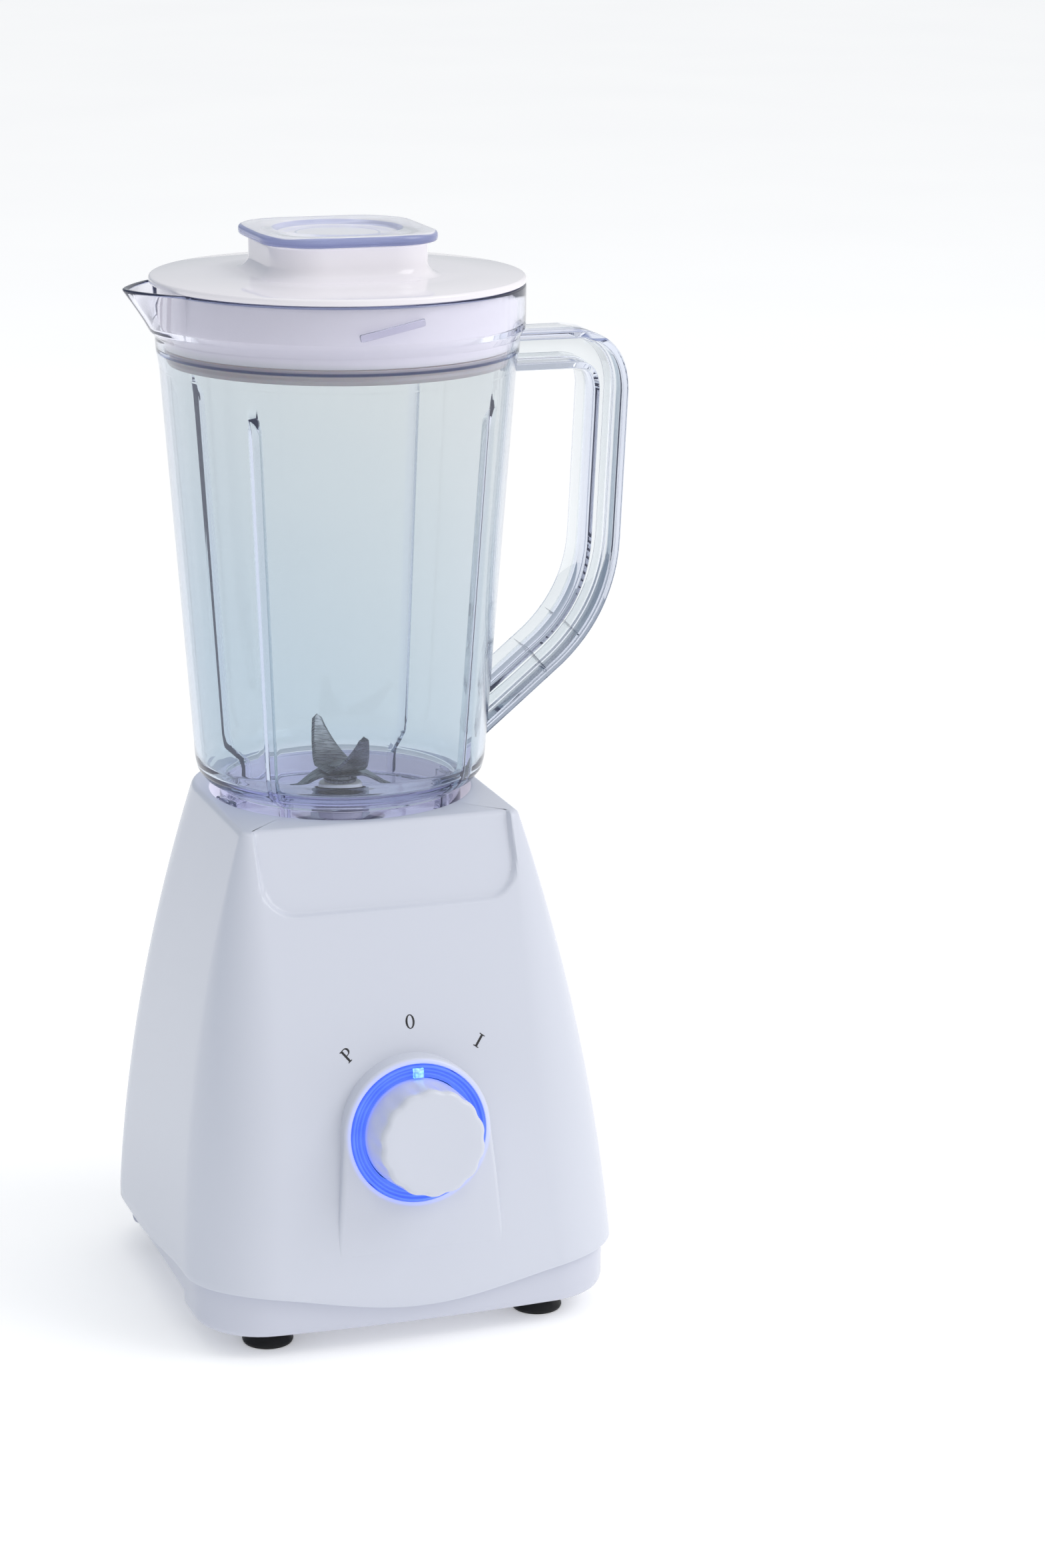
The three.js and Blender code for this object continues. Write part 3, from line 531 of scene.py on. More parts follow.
MATERIALS = {
    "white_plastic": white_plastic(),
    # low and high ends of the jar's tint and painted shade
    "clear_plastic": clear_plastic("clear_jar", (0.67, 0.745, 0.77), (0.84, 0.86, 0.83),
                                   (0.40, 0.46, 0.84), 32.0),
    "blue_light_plastic": lit_plastic(),
    "black_rubber": plain("black_rubber", (0.008, 0.008, 0.01), (0.005, 0.005, 0.006),
                          (0.012, 0.012, 0.014), (60, 700), (0.4, 0.6), 0.12, Specular_IOR_Level=0.3),
    "silicone": plain("silicone", (0.62, 0.56, 0.58), (0.56, 0.50, 0.53), (0.64, 0.58, 0.60),
                      (40, 500), (0.4, 0.55), 0.05, Subsurface_Weight=0.2),
    "grey_plastic": plain("grey_plastic", (0.3, 0.31, 0.33), (0.26, 0.27, 0.29), (0.33, 0.34, 0.36),
                          (30, 1200), (0.45, 0.6), 0.15),
    "steel": brushed("brushed_steel", (0.42, 0.43, 0.45), (0.62, 0.63, 0.65)),
    "dark_steel": brushed("dark_steel", (0.12, 0.12, 0.13), (0.26, 0.26, 0.27)),
    "laminations": streaked("laminations", (0.3, 0.31, 0.33), (0.18, 0.18, 0.2), (0.36, 0.36, 0.38),
                            (60, 2, (0.05, 0.05, 40)), (0.35, 0.6), 0.3, 0.8),
    "copper": streaked("copper", (0.7, 0.32, 0.15), (0.45, 0.17, 0.07), (0.8, 0.38, 0.18),
                       (90, 1, (0.2, 12, 12)), (0.22, 0.42), 0.35),
    "carbon": plain("carbon", (0.04, 0.04, 0.045), (0.02, 0.02, 0.024), (0.07, 0.07, 0.075),
                    (500, 900), (0.6, 0.85), 0.3),
    "circuit_board": plain("circuit_board", (0.04, 0.22, 0.09), (0.02, 0.16, 0.06), (0.06, 0.28, 0.12),
                           (150, 300), (0.25, 0.4), 0.1),
}
INK = plain("dial_ink", (0.012, 0.012, 0.014), (0.008, 0.008, 0.01), (0.03, 0.03, 0.034),
            (400, 1500), (0.35, 0.5), 0.05)


def finish_cad_nodes():
    """Every CAD node gets its slot's procedural material."""
    for part in frame["record"]["subparts"]:
        node = frame["nodes"][part["node"]]
        for slot in node.material_slots:
            slot.material = MATERIALS[part["material_slot"]]


# ---------- motor base ----------
# (part, fraction) pairs round the housing: part 0 front left corner, 1 front, 2 corner, ... 7 left side
PLACES = [(part, i / count) for part, count in enumerate((22, 132, 22, 26, 18, 30, 18, 26))
          for i in range(count)]


def between(pair, linear, s):
    return pair[0] + (pair[1] - pair[0]) * (linear * s + (1 - linear) * s * s)


def outline_point(place, z, inset=0.0):
    """A point on the housing's plan outline at a height."""
    part, t = place
    s = max(0.0, (z - FULL_WIDTH) / (BASE_TOP - FULL_WIDTH))
    w = between(HALF_WIDTH, SIDE_CURVE, s) - inset
    front = between(FRONT, FRONT_CURVE, s) - inset
    back = between(BACK, 1.0, s) - inset
    front_r = max(3.0, FRONT_CORNER[0] + FRONT_CORNER[1] * s + FRONT_CORNER[2] * s * s - inset)
    back_r = BACK_CORNER[0] + BACK_CORNER[1] * s - inset
    crown = CROWN * (1 - CROWN_FADE * s)
    edge = w - front_r
    slope = atan(2 * crown * edge / w ** 2)
    corner_y = -front + crown * (edge / w) ** 2 + front_r
    reach = edge + front_r * sin(slope)
    if part in (0, 2):
        turn = (pi + (pi / 2 - slope) * t) if part == 0 else (1.5 * pi + slope + (pi / 2 - slope) * t)
        x = edge if part == 2 else -edge
        return x + front_r * cos(turn), corner_y + front_r * sin(turn), z
    if part == 1:
        x = reach * (2 * t - 1)
        return x, -front + crown * (x / w) ** 2, z
    if part in (4, 6):
        turn = pi / 2 * t + (0 if part == 4 else pi / 2)
        x = (w - back_r) if part == 4 else back_r - w
        return x + back_r * cos(turn), back - back_r + back_r * sin(turn), z
    if part == 5:
        return (w - back_r) * (1 - 2 * t), back, z
    y = corner_y + (back - back_r - corner_y) * (t if part == 3 else 1 - t)
    return (w if part == 3 else -w), y, z


def smooth(t):
    t = min(1.0, max(0.0, t))
    return t * t * (3 - 2 * t)


def parting(x, y):
    """Height of the wavy edge between the upper housing and the lower shell."""
    wave = (1 - cos(pi * min(1.0, abs(x) / PART_SPAN))) / 2
    if y < -PART_FRONT:
        return PART_CENTRE + (PART_CORNER - PART_CENTRE) * wave
    return PART_SIDE + (PART_CORNER - PART_SIDE) * smooth(-y / PART_FRONT)


def facet_depth(x, z):
    """How far inside the facet's rounded outline a place is, in mm."""
    right, low = FACET_HALF - abs(x), z - FACET_LOW
    if right < FACET_R and low < FACET_R:
        return FACET_R - hypot(FACET_R - right, FACET_R - low)
    return min(right, low)


def skin_point(place, z, inset=0.0):
    """The outline with the shallow flat facet pressed into the top of the front."""
    x, y, _ = outline_point(place, z, inset)
    inside = facet_depth(x, z)
    if place[0] <= 2 and inside > -FACET_FADE and y < 0:
        t = (z - FACET_LOW) / (BASE_TOP - FACET_LOW)
        low = outline_point((1, 0.5), FACET_LOW)[1] + FACET_DEPTH[1]
        high = outline_point((1, 0.5), BASE_TOP)[1] + FACET_DEPTH[0]
        plane = low + (high - low) * t + FACET_HOLLOW * (x / FACET_HALF) ** 2 + inset
        y += max(0.0, plane - y) * smooth((inside + FACET_FADE) / FACET_SOFT)
    return x, y, z


def housing_levels():
    """Heights of the skin's rows, closer together at the facet's lower edge."""
    levels = [SKIN_FOOT + 1 + 2.0 * i for i in range(57)]
    levels += [145.2 + 0.45 * i for i in range(20)]
    levels += [155 + 1.9 * i for i in range(11)]
    return [z for z in sorted(levels) if z < BASE_TOP - LIP - 0.3]


def upper_housing():
    """Outer skin, rounded top lip, jar recess and inner wall as one closed skin."""
    foot = [parting(*outline_point(p, FULL_WIDTH)[:2]) for p in PLACES]
    lip = ((WALL, 0.0), (0.9, 0.0), (0.3, 0.25), (0.0, 0.9))
    rings = [[outline_point(p, h + up, inset) for p, h in zip(PLACES, foot)] for inset, up in lip]
    for t in (0.3, 0.65, 0.95):
        rings.append([outline_point(p, h + 0.9 + (SKIN_FOOT - h) * t) for p, h in zip(PLACES, foot)])
    rings += [[skin_point(p, z) for p in PLACES] for z in housing_levels()]
    for k in range(6):
        turn = pi / 2 * k / 5
        z = BASE_TOP - LIP + LIP * sin(turn)
        rings.append([skin_point(p, z, LIP * (1 - cos(turn))) for p in PLACES])
    well = rounded([(RECESS_R + 1.6, BASE_TOP, 0), (RECESS_R, BASE_TOP, 0.9), (RECESS_R, RECESS_FLOOR, 2),
                    (SHAFT_HOLE, RECESS_FLOOR, 0.5), (SHAFT_HOLE, RECESS_FLOOR - 2.4, 0),
                    (RECESS_R + 2.4, RECESS_FLOOR - 2.4, 0), (RECESS_R + 2.4, BASE_TOP - WALL, 0)], 4, False)
    top = [outline_point(p, BASE_TOP) for p in PLACES]
    rings += [ring_toward(top, r, z) for r, z in well]
    rings += [[outline_point(p, z, WALL) for p in PLACES] for z in (BASE_TOP - WALL, 150, 120, 90, 60, 30)]
    material = white_plastic("housing_gloss")
    light_in_well(material)
    obj = to_mesh("housing_shell", loft(rings, wrap=True))
    bore = lathe([(0, -18), (25.2, -18), (25.2, 14), (0, 14)], 64)
    carve(obj, on_control(bore))
    carve(obj, gland_hole())
    dress(obj, material, "base", "upper_housing", 30)


def gland_hole():
    points, faces = lathe([(0, 30), (5.3, 30), (5.3, 75), (0, 75)], 32)
    return [(x, z, 40 - y) for x, y, z in points], faces


def pod_outline(steps=40):
    """Points and outward normals round the control's raised pod."""
    lean = atan2(POD_FLARE - POD_R, POD_DROP)
    edge = [(POD_R * cos(a), POD_R * sin(a), cos(a), sin(a))
            for a in [pi * i / steps for i in range(steps + 1)]]
    sides = 26
    left = []
    for i in range(1, sides + 1):
        t = i / sides
        left.append((-POD_R - (POD_FLARE - POD_R) * t, -POD_DROP * t, -cos(lean), sin(lean)))
    bottom = [(-POD_FLARE + 2 * POD_FLARE * i / 24, -POD_DROP, 0, -1) for i in range(1, 24)]
    right = [(-x, y, -nx, ny) for x, y, nx, ny in reversed(left)]
    return edge + left + bottom + right


def skin_level(u, v):
    """How far out of the control's face plane the housing's front is."""
    w = 0.0
    for _ in range(8):
        w = (POD_Y + v * TILT_S - front_skin(u, POD_Z + v * TILT_C + w * TILT_S)) / TILT_C
    return w


def pod_level(u, v):
    """The pod's face runs level, then fades into the housing at its lower end."""
    return (skin_level(u, v) - 0.25) * smooth((POD_LEVEL_END - v) / (POD_DROP + POD_LEVEL_END))


def control_pod():
    outline = pod_outline()
    hole = ((24.1, -11), (24.1, -0.5), (24.25, -0.12), (24.5, 0.0))
    rings = [ring_toward(outline, radius, w) for radius, w in hole]
    inner = rings[-1]
    for t in (0.25, 0.5, 0.75):
        rings.append([(u + (x - nx * POD_EDGE - u) * t, v + (y - ny * POD_EDGE - v) * t, 0.0)
                      for (u, v, _), (x, y, nx, ny) in zip(inner, outline)])
    for k in range(7):
        turn = pi / 2 * k / 6
        inset, w = POD_EDGE * (1 - sin(turn)), -POD_EDGE * (1 - cos(turn))
        rings.append([(x - nx * inset, y - ny * inset, w) for x, y, nx, ny in outline])
    rings.append([(x + nx * 0.4, y + ny * 0.4, -13) for x, y, nx, ny in outline])
    rings = [[(u, v, w + (pod_level(u, v) if w > -5 else 0)) for u, v, w in ring] for ring in rings]
    piece("control_pod", on_control(loft(rings, wrap=True)), pod_plastic(), "base")


def lower_shell():
    """The pan under the housing, with arched sides, vents and recessed screws."""
    edge = ((0, 3.2), (0.35, 1.7), (1.1, 0.8), (2.2, 0.25), (3.6, 0))
    levels = [(BASE_BOTTOM + up, extra) for up, extra in edge] + [(FULL_WIDTH, 0), (SHELL_TOP, 0)]
    skin = [[outline_point(p, z, SHELL_INSET + extra + leg_tuck(p, z))[:2] + (z,) for p in PLACES[::2]]
            for z, extra in levels]
    obj = to_mesh("bottom_pan", loft(skin))
    hollow = [[outline_point(p, z, SHELL_INSET + 2.4)[:2] + (z,) for p in PLACES[::2]] for z in (16.9, 30)]
    carve(obj, loft(hollow))
    carve(obj, rounded_block((-58, -84, 10.4), (58, 40, 18), 10))
    for side in (-1, 1):
        x = sorted((side * ARCH_X, side * 95))
        carve(obj, rounded_block((x[0], ARCH_FRONT, -5), (x[1], ARCH_BACK, ARCH_TOP), 5, 5))
    holes = [rounded_block((-28, step * 9 - 2, 0), (28, step * 9 + 2, 14), 1.9) for step in range(-2, 3)]
    bores = ((foot_sites(), [(0, 0), (3.9, 0), (3.9, 22), (0, 22)]),
             (screw_sites(), [(0, 0), (3.9, 0), (3.9, 14), (2.2, 14), (2.2, 22), (0, 22)]))
    for sites, profile in bores:
        holes += [moved(lathe(profile, 24), *site) for site in sites]
    carve(obj, joined(*holes))
    # painted shade: a darker copy of the white plastic for the shade under the housing's lip
    material = white_plastic("pan_gloss_shaded", (0.57, 0.59, 0.68), (0.59, 0.61, 0.7))
    dress(obj, material, "base", "lower_shell", 30)


def leg_tuck(place, z):
    """The rear legs stand a little inside the skin."""
    return LEG_TUCK if place[0] in (4, 6) and z < LEG_TOP else 0.0


def foot_sites():
    return [(side * FOOT_X, y) for y in (FOOT_FRONT, FOOT_BACK) for side in (-1, 1)]


def screw_sites():
    return [(side * SCREW_X, y) for y in SCREW_Y for side in (-1, 1)]


CORNERS = ("front_left", "front_right", "rear_left", "rear_right")


def feet():
    foot = rounded([(0, 1.0, 0), (5.6, 1.0, 0.5), (6.4, 0, 0.3), (8.5, 0, 0.4), (9.0, 1.1, 0.6),
                    (7.2, 3.7, 0.8), (5.2, 5.2, 0.6), (3.6, 5.2, 0.2), (3.6, 15, 0.5), (0, 15, 0)], 4)
    collar = rounded([(3.9, 5.5, 0.2), (7.0, 5.5, 0.6), (7.4, 7.7, 0.4), (3.9, 7.7, 0.2)], 4)
    for corner, site in zip(CORNERS, foot_sites()):
        for name, profile, slot, node in (("sucker", foot, "black_rubber", "suction_foot"),
                                          ("foot_washer", collar, "clear_plastic", "foot_collar")):
            piece(f"{name}_{corner}", moved(lathe(profile, 48), *site), MATERIALS[slot], "base",
                  f"{node}_{corner}")


# ---------- control ----------
def knob_radius(angle, w):
    grip = smooth((w - 1.5) / 8)
    wave = (0.5 + 0.5 * cos(SCALLOPS * angle)) ** 1.5
    return KNOB_R - 0.6 * smooth(w / 16) - 0.6 * grip * wave


def control_knob():
    angles = around(SCALLOPS * 14)
    edge = 1.8
    levels = [(w, 0.0) for w in (-1.5, 0, 1.5, 3, 4.5, 6, 7.5, 9, 11, 13, KNOB_FACE - edge)]
    for k in range(1, 7):
        turn = pi / 2 * k / 6
        levels.append((KNOB_FACE - edge + edge * sin(turn), edge * (1 - cos(turn))))
    rings = [[(0, 0, -1.5)] * len(angles)]
    for w, inset in levels:
        radii = [knob_radius(a, w) - inset for a in angles]
        rings.append([(r * cos(a), r * sin(a), w) for r, a in zip(radii, angles)])
    for r, sunk in ((13.5, 0.12), (9, 0.28), (4, 0.36), (0, 0.38)):
        rings.append(round_ring(r, KNOB_FACE - sunk, angles))
    material = white_plastic("knob_gloss")
    glow_near_foot(material)
    piece("dial_knob", on_control(loft(rings, caps=False)), material, "knob",
          "control_knob", 60)


def light_ring():
    profile = rounded([(RING_IN, -7, 0.2), (RING_OUT, -7, 0.2), (RING_OUT, 0.5, 0.5), (23.0, 0.7, 0.3),
                       (22.5, -0.5, 0.3), (22.0, 0.15, 0.25), (21.4, -0.9, 0.3), (20.8, 0.1, 0.25),
                       (20.4, -0.3, 0.2), (RING_IN + 0.4, 0.4, 0.3), (RING_IN, 0.1, 0.2)], 3)
    piece("lit_ring", on_control(lathe(profile, 144)), MATERIALS["blue_light_plastic"], "base",
          "light_ring", 50)


def indicator():
    """A small faceted clear window at the top of the ring."""
    levels = ((1.3, 1.8, 0.15), (2.3, 1.8, 0.15), (3.1, 1.2, 0.5))
    rings = [[(x * half / 1.8, 21.4 + y * (1.75 - cut), w) for x, y in
              ((-1.8, -1), (0, -1), (1.8, -1), (1.8, 0), (1.8, 1), (0, 1), (-1.8, 1), (-1.8, 0))]
             for w, half, cut in levels]
    piece("pointer_window", on_control(loft(rings)), sparkling(), "base",
          "indicator_window", 20)


# ---------- dial marks: each is a list of flat quads ----------
MARK_SCALE = 1.08


def glyph_zero(count=32):
    """Quads between two ovals of (half width, half height)."""
    outer, inner = ([(wide * cos(a), high * sin(a)) for a in around(count)]
                    for wide, high in ((1.5, 2.2), (0.84, 1.92)))
    return [[a, b, c, d] for a, b, c, d in zip(outer, outer[1:] + outer[:1], inner[1:] + inner[:1], inner)]


def bar(x0, x1, y0, y1):
    return [(x0, y0), (x1, y0), (x1, y1), (x0, y1)]


def glyph_one():
    return [bar(-0.36, 0.36, -2.15, 2.15), bar(-0.95, 0.95, 1.9, 2.2), bar(-0.95, 0.95, -2.2, -1.9)]


def glyph_p():
    quads = [bar(-1.2, -0.5, -2.1, 2.1), bar(-1.6, -0.1, -2.2, -1.92), bar(-1.6, 0.1, 1.9, 2.18)]
    steps = 14
    for i in range(steps):
        a, b = pi * (i / steps - 0.5), pi * ((i + 1) / steps - 0.5)
        outer = [(0.1 + 1.25 * cos(t), 0.98 + 1.17 * sin(t)) for t in (a, b)]
        inner = [(0.1 + 0.6 * cos(t), 0.98 + 0.92 * sin(t)) for t in (a, b)]
        quads.append([outer[0], outer[1], inner[1], inner[0]])
    return quads + [bar(-0.6, 0.1, -0.2, 0.06)]


def front_skin(x, z):
    """How far forward the housing's front is at a place."""
    s = (z - FULL_WIDTH) / (BASE_TOP - FULL_WIDTH)
    w = between(HALF_WIDTH, SIDE_CURVE, s)
    return -between(FRONT, FRONT_CURVE, s) + CROWN * (1 - CROWN_FADE * s) * (x / w) ** 2


def dial_mark(name, quads, x, z, turn):
    """A printed mark laid on the housing's front."""
    c, s = MARK_SCALE * cos(turn), MARK_SCALE * sin(turn)
    plates = []
    for quad in quads:
        flat = [(x + c * u + s * v, z - s * u + c * v) for u, v in quad]
        plates.append(loft([[(px, front_skin(px, pz) - lift, pz) for px, pz in flat]
                            for lift in (-0.03, 0.06)]))
    piece(name, joined(*plates), INK, "base")


# ---------- jar ----------
JAR_OUTSIDE = [(COLLAR_R, COLLAR_LOW, 0.5), (COLLAR_R, 178, 0.6), (44.6, 179.2, 0.8), (48.6, 181.6, 2.5),
               (50.8, 184.4, 3), (*CONE_LOW, 8), (*CONE_HIGH, 20), (61.9, 327, 5), (63.0, 333.4, 0.5),
               (63.3, 338.5, 1.5), (RIM_R - 0.1, 341.2, 1.5), (RIM_R, RIM_Z, 0.9)]
JAR_INSIDE = [(RIM_R - JAR_WALL, RIM_Z, 0.8), (62.7, 343.2, 1.5), (61.1, 339.6, 1.5), (60.8, 334.6, 0.6),
              (59.6, 327.3, 4), (CONE_HIGH[0] - JAR_WALL, CONE_HIGH[1], 20),
              (CONE_LOW[0] - JAR_WALL, 189, 8), (48.2, 185.4, 3), (45.4, 183.2, 2), (41.2, 180.6, 1.5),
              (40.3, 178, 1), (40.3, FLOOR_Z, 2), (5.9, FLOOR_Z, 0.3)]
JAR_UNDER = [(5.9, FLOOR_Z - 3, 0.3), (40.3, FLOOR_Z - 3, 1), (40.3, COLLAR_LOW, 0.4)]


def jar_angles():
    """Directions round the jar, with extra ones at the four ribs and the spout."""
    angles = set(around(144))
    for rib in RIBS:
        angles -= {a for a in angles if abs(a - radians(rib)) < 0.05}
        angles |= {radians(rib) + offset for offset, _ in RIB_SIDES}
    angles |= {pi + 0.01 * i for i in range(-38, 39)}
    ordered = sorted(angles)
    return [a for a, b in zip(ordered, ordered[1:] + [9]) if b - a > 0.004]


RIB_SIDE = [(-0.046, 0.0), (-0.036, 0.06), (-0.031, 0.35), (-0.027, 0.85), (-0.019, 1.0), (0.0, 1.0)]
RIB_SIDES = RIB_SIDE + [(-offset, share) for offset, share in RIB_SIDE[-2::-1]]


def rib_share(angle):
    """How much of the rib's depth stands at a direction."""
    for rib in RIBS:
        offset = angle - radians(rib)
        for (a, low), (b, high) in zip(RIB_SIDES, RIB_SIDES[1:]):
            if a <= offset <= b:
                return low + (high - low) * (offset - a) / (b - a)
    return 0.0


def rib_depth(z):
    """Depth of the inner ribs at a height; they start below the collar and run onto the floor."""
    if z > RIB_TOP or z < FLOOR_Z + 0.2:
        return 0.0
    return RIB_DEPTH * smooth((RIB_TOP - z) / 3)


def spout_push(angle, z):
    """How far the spout draws the wall outwards."""
    t = min(1.0, abs(angle - pi) / SPOUT_HALF)
    side = (1 - sqrt(t * t + 0.012) / sqrt(1.012)) * 1.12
    rise = max(0.0, (z - SPOUT_LOW) / (RIM_Z - SPOUT_LOW))
    return SPOUT_REACH * max(0.0, side) * rise ** 1.15


def finer(path, step=5.0):
    """A path with points added so that no stretch is longer than a step."""
    out = [path[0]]
    for point in path[1:]:
        last = out[-1]
        count = max(1, ceil(dist(last, point) / step))
        out += [tuple(a + (b - a) * k / count for a, b in zip(last, point)) for k in range(1, count + 1)]
    return out


def jar_shape():
    angles = jar_angles()
    path = rounded(JAR_OUTSIDE + JAR_INSIDE + JAR_UNDER, 4)
    split = next(i for i, (r, z) in enumerate(path) if z > RIM_Z - 0.4 and r < RIM_R - JAR_WALL / 2)
    rings = []
    for inside, part in ((False, path[:split]), (True, path[split:])):
        for r, z in finer(part, 4.0):
            ring = []
            for a in angles:
                radius = r + spout_push(a, z)
                if inside and r > 30 and z > FLOOR_Z:
                    radius -= rib_share(a) * rib_depth(z)
                ring.append((radius * cos(a), radius * sin(a), z))
            rings.append(ring)
    return loft(rings, wrap=True)


def soft_bar(length, depth, height, radius):
    """A lug lying along X with all its edges softened."""
    plan = rounded_plan(-length / 2, length / 2, -depth / 2, depth / 2, radius, 5)
    rows = ((-height / 2, 0.4), (-height / 2 + 0.15, 0.12), (-height / 2 + 0.45, 0))
    rows += tuple((-z, inset) for z, inset in reversed(rows))
    return loft([[(x * (1 - inset * 2 / length), y * (1 - inset * 2 / depth), z) for x, y in plan]
                 for z, inset in rows])


def tilted(shape, angle):
    """A shape turned about Y."""
    c, s = cos(angle), sin(angle)
    return [(c * x + s * z, y, c * z - s * x) for x, y, z in shape[0]], shape[1]


def jar():
    lug = tilted(soft_bar(23, 2.6, 2.4, 1.1), radians(-12))
    curved = [(x, y - RIM_R - 0.4 + x * x / (2 * RIM_R), z) for x, y, z in lug[0]], lug[1]
    lugs = joined(*[moved(curved, z=348.5, turn=turn) for turn in (0, pi)])
    # low and high ends of the lugs' tint and painted shade
    material = clear_plastic("clear_lugs", (0.72, 0.66, 0.78), (0.76, 0.70, 0.82), (0.3, 0.28, 0.7), 60.0)
    piece("rim_lugs", lugs, material, "jar")
    tab = soft_bar(3.4, 12, 4, 0.8)
    tabs = [moved(tab, 44.0 * cos(spot), 44.0 * sin(spot), 174, turn=spot)
            for spot in (radians(8), radians(8) + pi)]
    piece("clear_jar", joined(jar_shape(), *tabs), MATERIALS["clear_plastic"], "jar",
          "jar_body", 42)


def outside_radius(z):
    """The jar's outer radius at a height on its cone or collar."""
    path = [(r, h) for r, h, _ in JAR_OUTSIDE]
    for (r0, z0), (r1, z1) in zip(path, path[1:]):
        if z0 <= z <= z1 and z1 > z0:
            return r0 + (r1 - r0) * (z - z0) / (z1 - z0)
    return RIM_R


def bezier(a, b, c, steps):
    return [((1 - t) ** 2 * a[0] + 2 * t * (1 - t) * b[0] + t * t * c[0],
             (1 - t) ** 2 * a[1] + 2 * t * (1 - t) * b[1] + t * t * c[1])
            for t in [i / steps for i in range(steps + 1)]]


def handle_line():
    line = [(64 + 4 * i, 330.3) for i in range(5)]
    line += bezier((84, 330.3), (97.6, 330), (97.6, 315), 14)
    line += [(97.6 - 2.4 * i / 8, 315 - 53 * i / 8) for i in range(1, 8)]
    line += bezier((95.2, 262), (94, 238), (76, 222), 16)
    line += [(76 - 26 * i / 8, 222 - 21.5 * i / 8) for i in range(1, 5)]
    return line


def handle_section():
    """The I-section's outline as (across, along Y) corners; across grows away from the jar."""
    deep, wide, flange, web = 6.75, 10.0, 2.6, 1.5
    quarter = [(deep, wide, 0.7), (deep - flange, wide, 0.5), (deep - flange, web, 0.8)]
    half = quarter + [(-x, y, radius) for x, y, radius in reversed(quarter)]
    return rounded(half + [(-x, -y, radius) for x, y, radius in half], 3)


def into_wall(x, y, z, direction):
    """Slides a point along a direction until it is just inside the jar's wall."""
    for _ in range(400):
        if hypot(x, y) <= outside_radius(z) - 0.9:
            break
        x, z = x + direction[0] * 0.1, z + direction[1] * 0.1
    return x, y, z


def handle():
    line, section = handle_line(), handle_section()
    rings = []
    for i, (x, z) in enumerate(line):
        before, after = line[max(0, i - 1)], line[min(len(line) - 1, i + 1)]
        along = Vector((after[0] - before[0], after[1] - before[1])).normalized()
        across = Vector((-along.y, along.x))
        rings.append([(x + across.x * a, y, z + across.y * a) for a, y in section])
    low = Vector((-26, -21.5)).normalized()
    rings.insert(0, [into_wall(*p, (-1, 0)) for p in rings[0]])
    rings.append([into_wall(*p, low) for p in rings[-1]])
    # low and high ends of the grip's tint and painted shade
    material = clear_plastic("clear_grip", (0.79, 0.83, 0.83), (0.85, 0.87, 0.86), (0.42, 0.5, 0.9), 14.0)
    piece("clear_handle", joined(loft(rings), *handle_ribs()), material, "jar",
          "jar_handle", 42)


def handle_ribs():
    """Two short cross walls between the flanges in the lower bend."""
    ribs = []
    for x, z, turn in ((84.6, 229.6, -46), (72.0, 218.6, -50)):
        c, s = cos(radians(turn)), sin(radians(turn))
        points, faces = soft_bar(8.4, 17, 1.6, 0.5)
        ribs.append(([(x + a * c + h * s, b, z + a * s + h * c) for a, b, h in points], faces))
    return ribs


# ---------- blade unit ----------
def wing(reach, rise, width, tip, side, bend, steps=16):
    """One blade wing from the hub outwards: rows of (x, z, how far its -Y and +Y edges reach)."""
    rows = []
    for i in range(steps + 1):
        t = i / steps
        x = BLADE_HUB + (reach - BLADE_HUB) * (1 - (1 - t) ** 1.1)
        z = rise * (t ** bend if rise > 0 else smooth(t))
        close = sqrt(max(0.0, 1 - ((t - 0.94) / 0.06) ** 2)) if t > 0.94 else 1.0
        slant = tip * 0.2 + (width - tip * 0.2) * (1 - t) ** 1.3
        plain = tip + (width - tip) * (1 - t ** 1.4)
        middle = (plain - slant) / 2
        slant, plain = (slant + middle) * close - middle, (plain - middle) * close + middle
        rows.append((side * x, z, *((slant, plain) if side > 0 else (plain, slant))))
    return rows


def strip(left, right, base, thick=1.2):
    """A bent steel strip from two wings, with a flat middle."""
    rows = list(reversed(left)) + right
    rings = []
    for i, (x, z, front, back) in enumerate(rows):
        before, after = rows[max(0, i - 1)], rows[min(len(rows) - 1, i + 1)]
        slope = Vector((after[0] - before[0], after[1] - before[1]))
        slope = slope.normalized() if slope.length > 0 else Vector((1, 0))
        n = Vector((-slope.y, slope.x)) * (thick / 2)
        edge = n * 0.15
        bevel = min(0.9, (front + back) * 0.25)
        outline = ((-n, bevel - front), (-n, back - bevel), (-edge, back), (edge, back),
                   (n, back - bevel), (n, bevel - front), (edge, -front), (-edge, -front))
        rings.append([(x + a.x, y, base + z + a.y) for a, y in outline])
    return loft(rings)


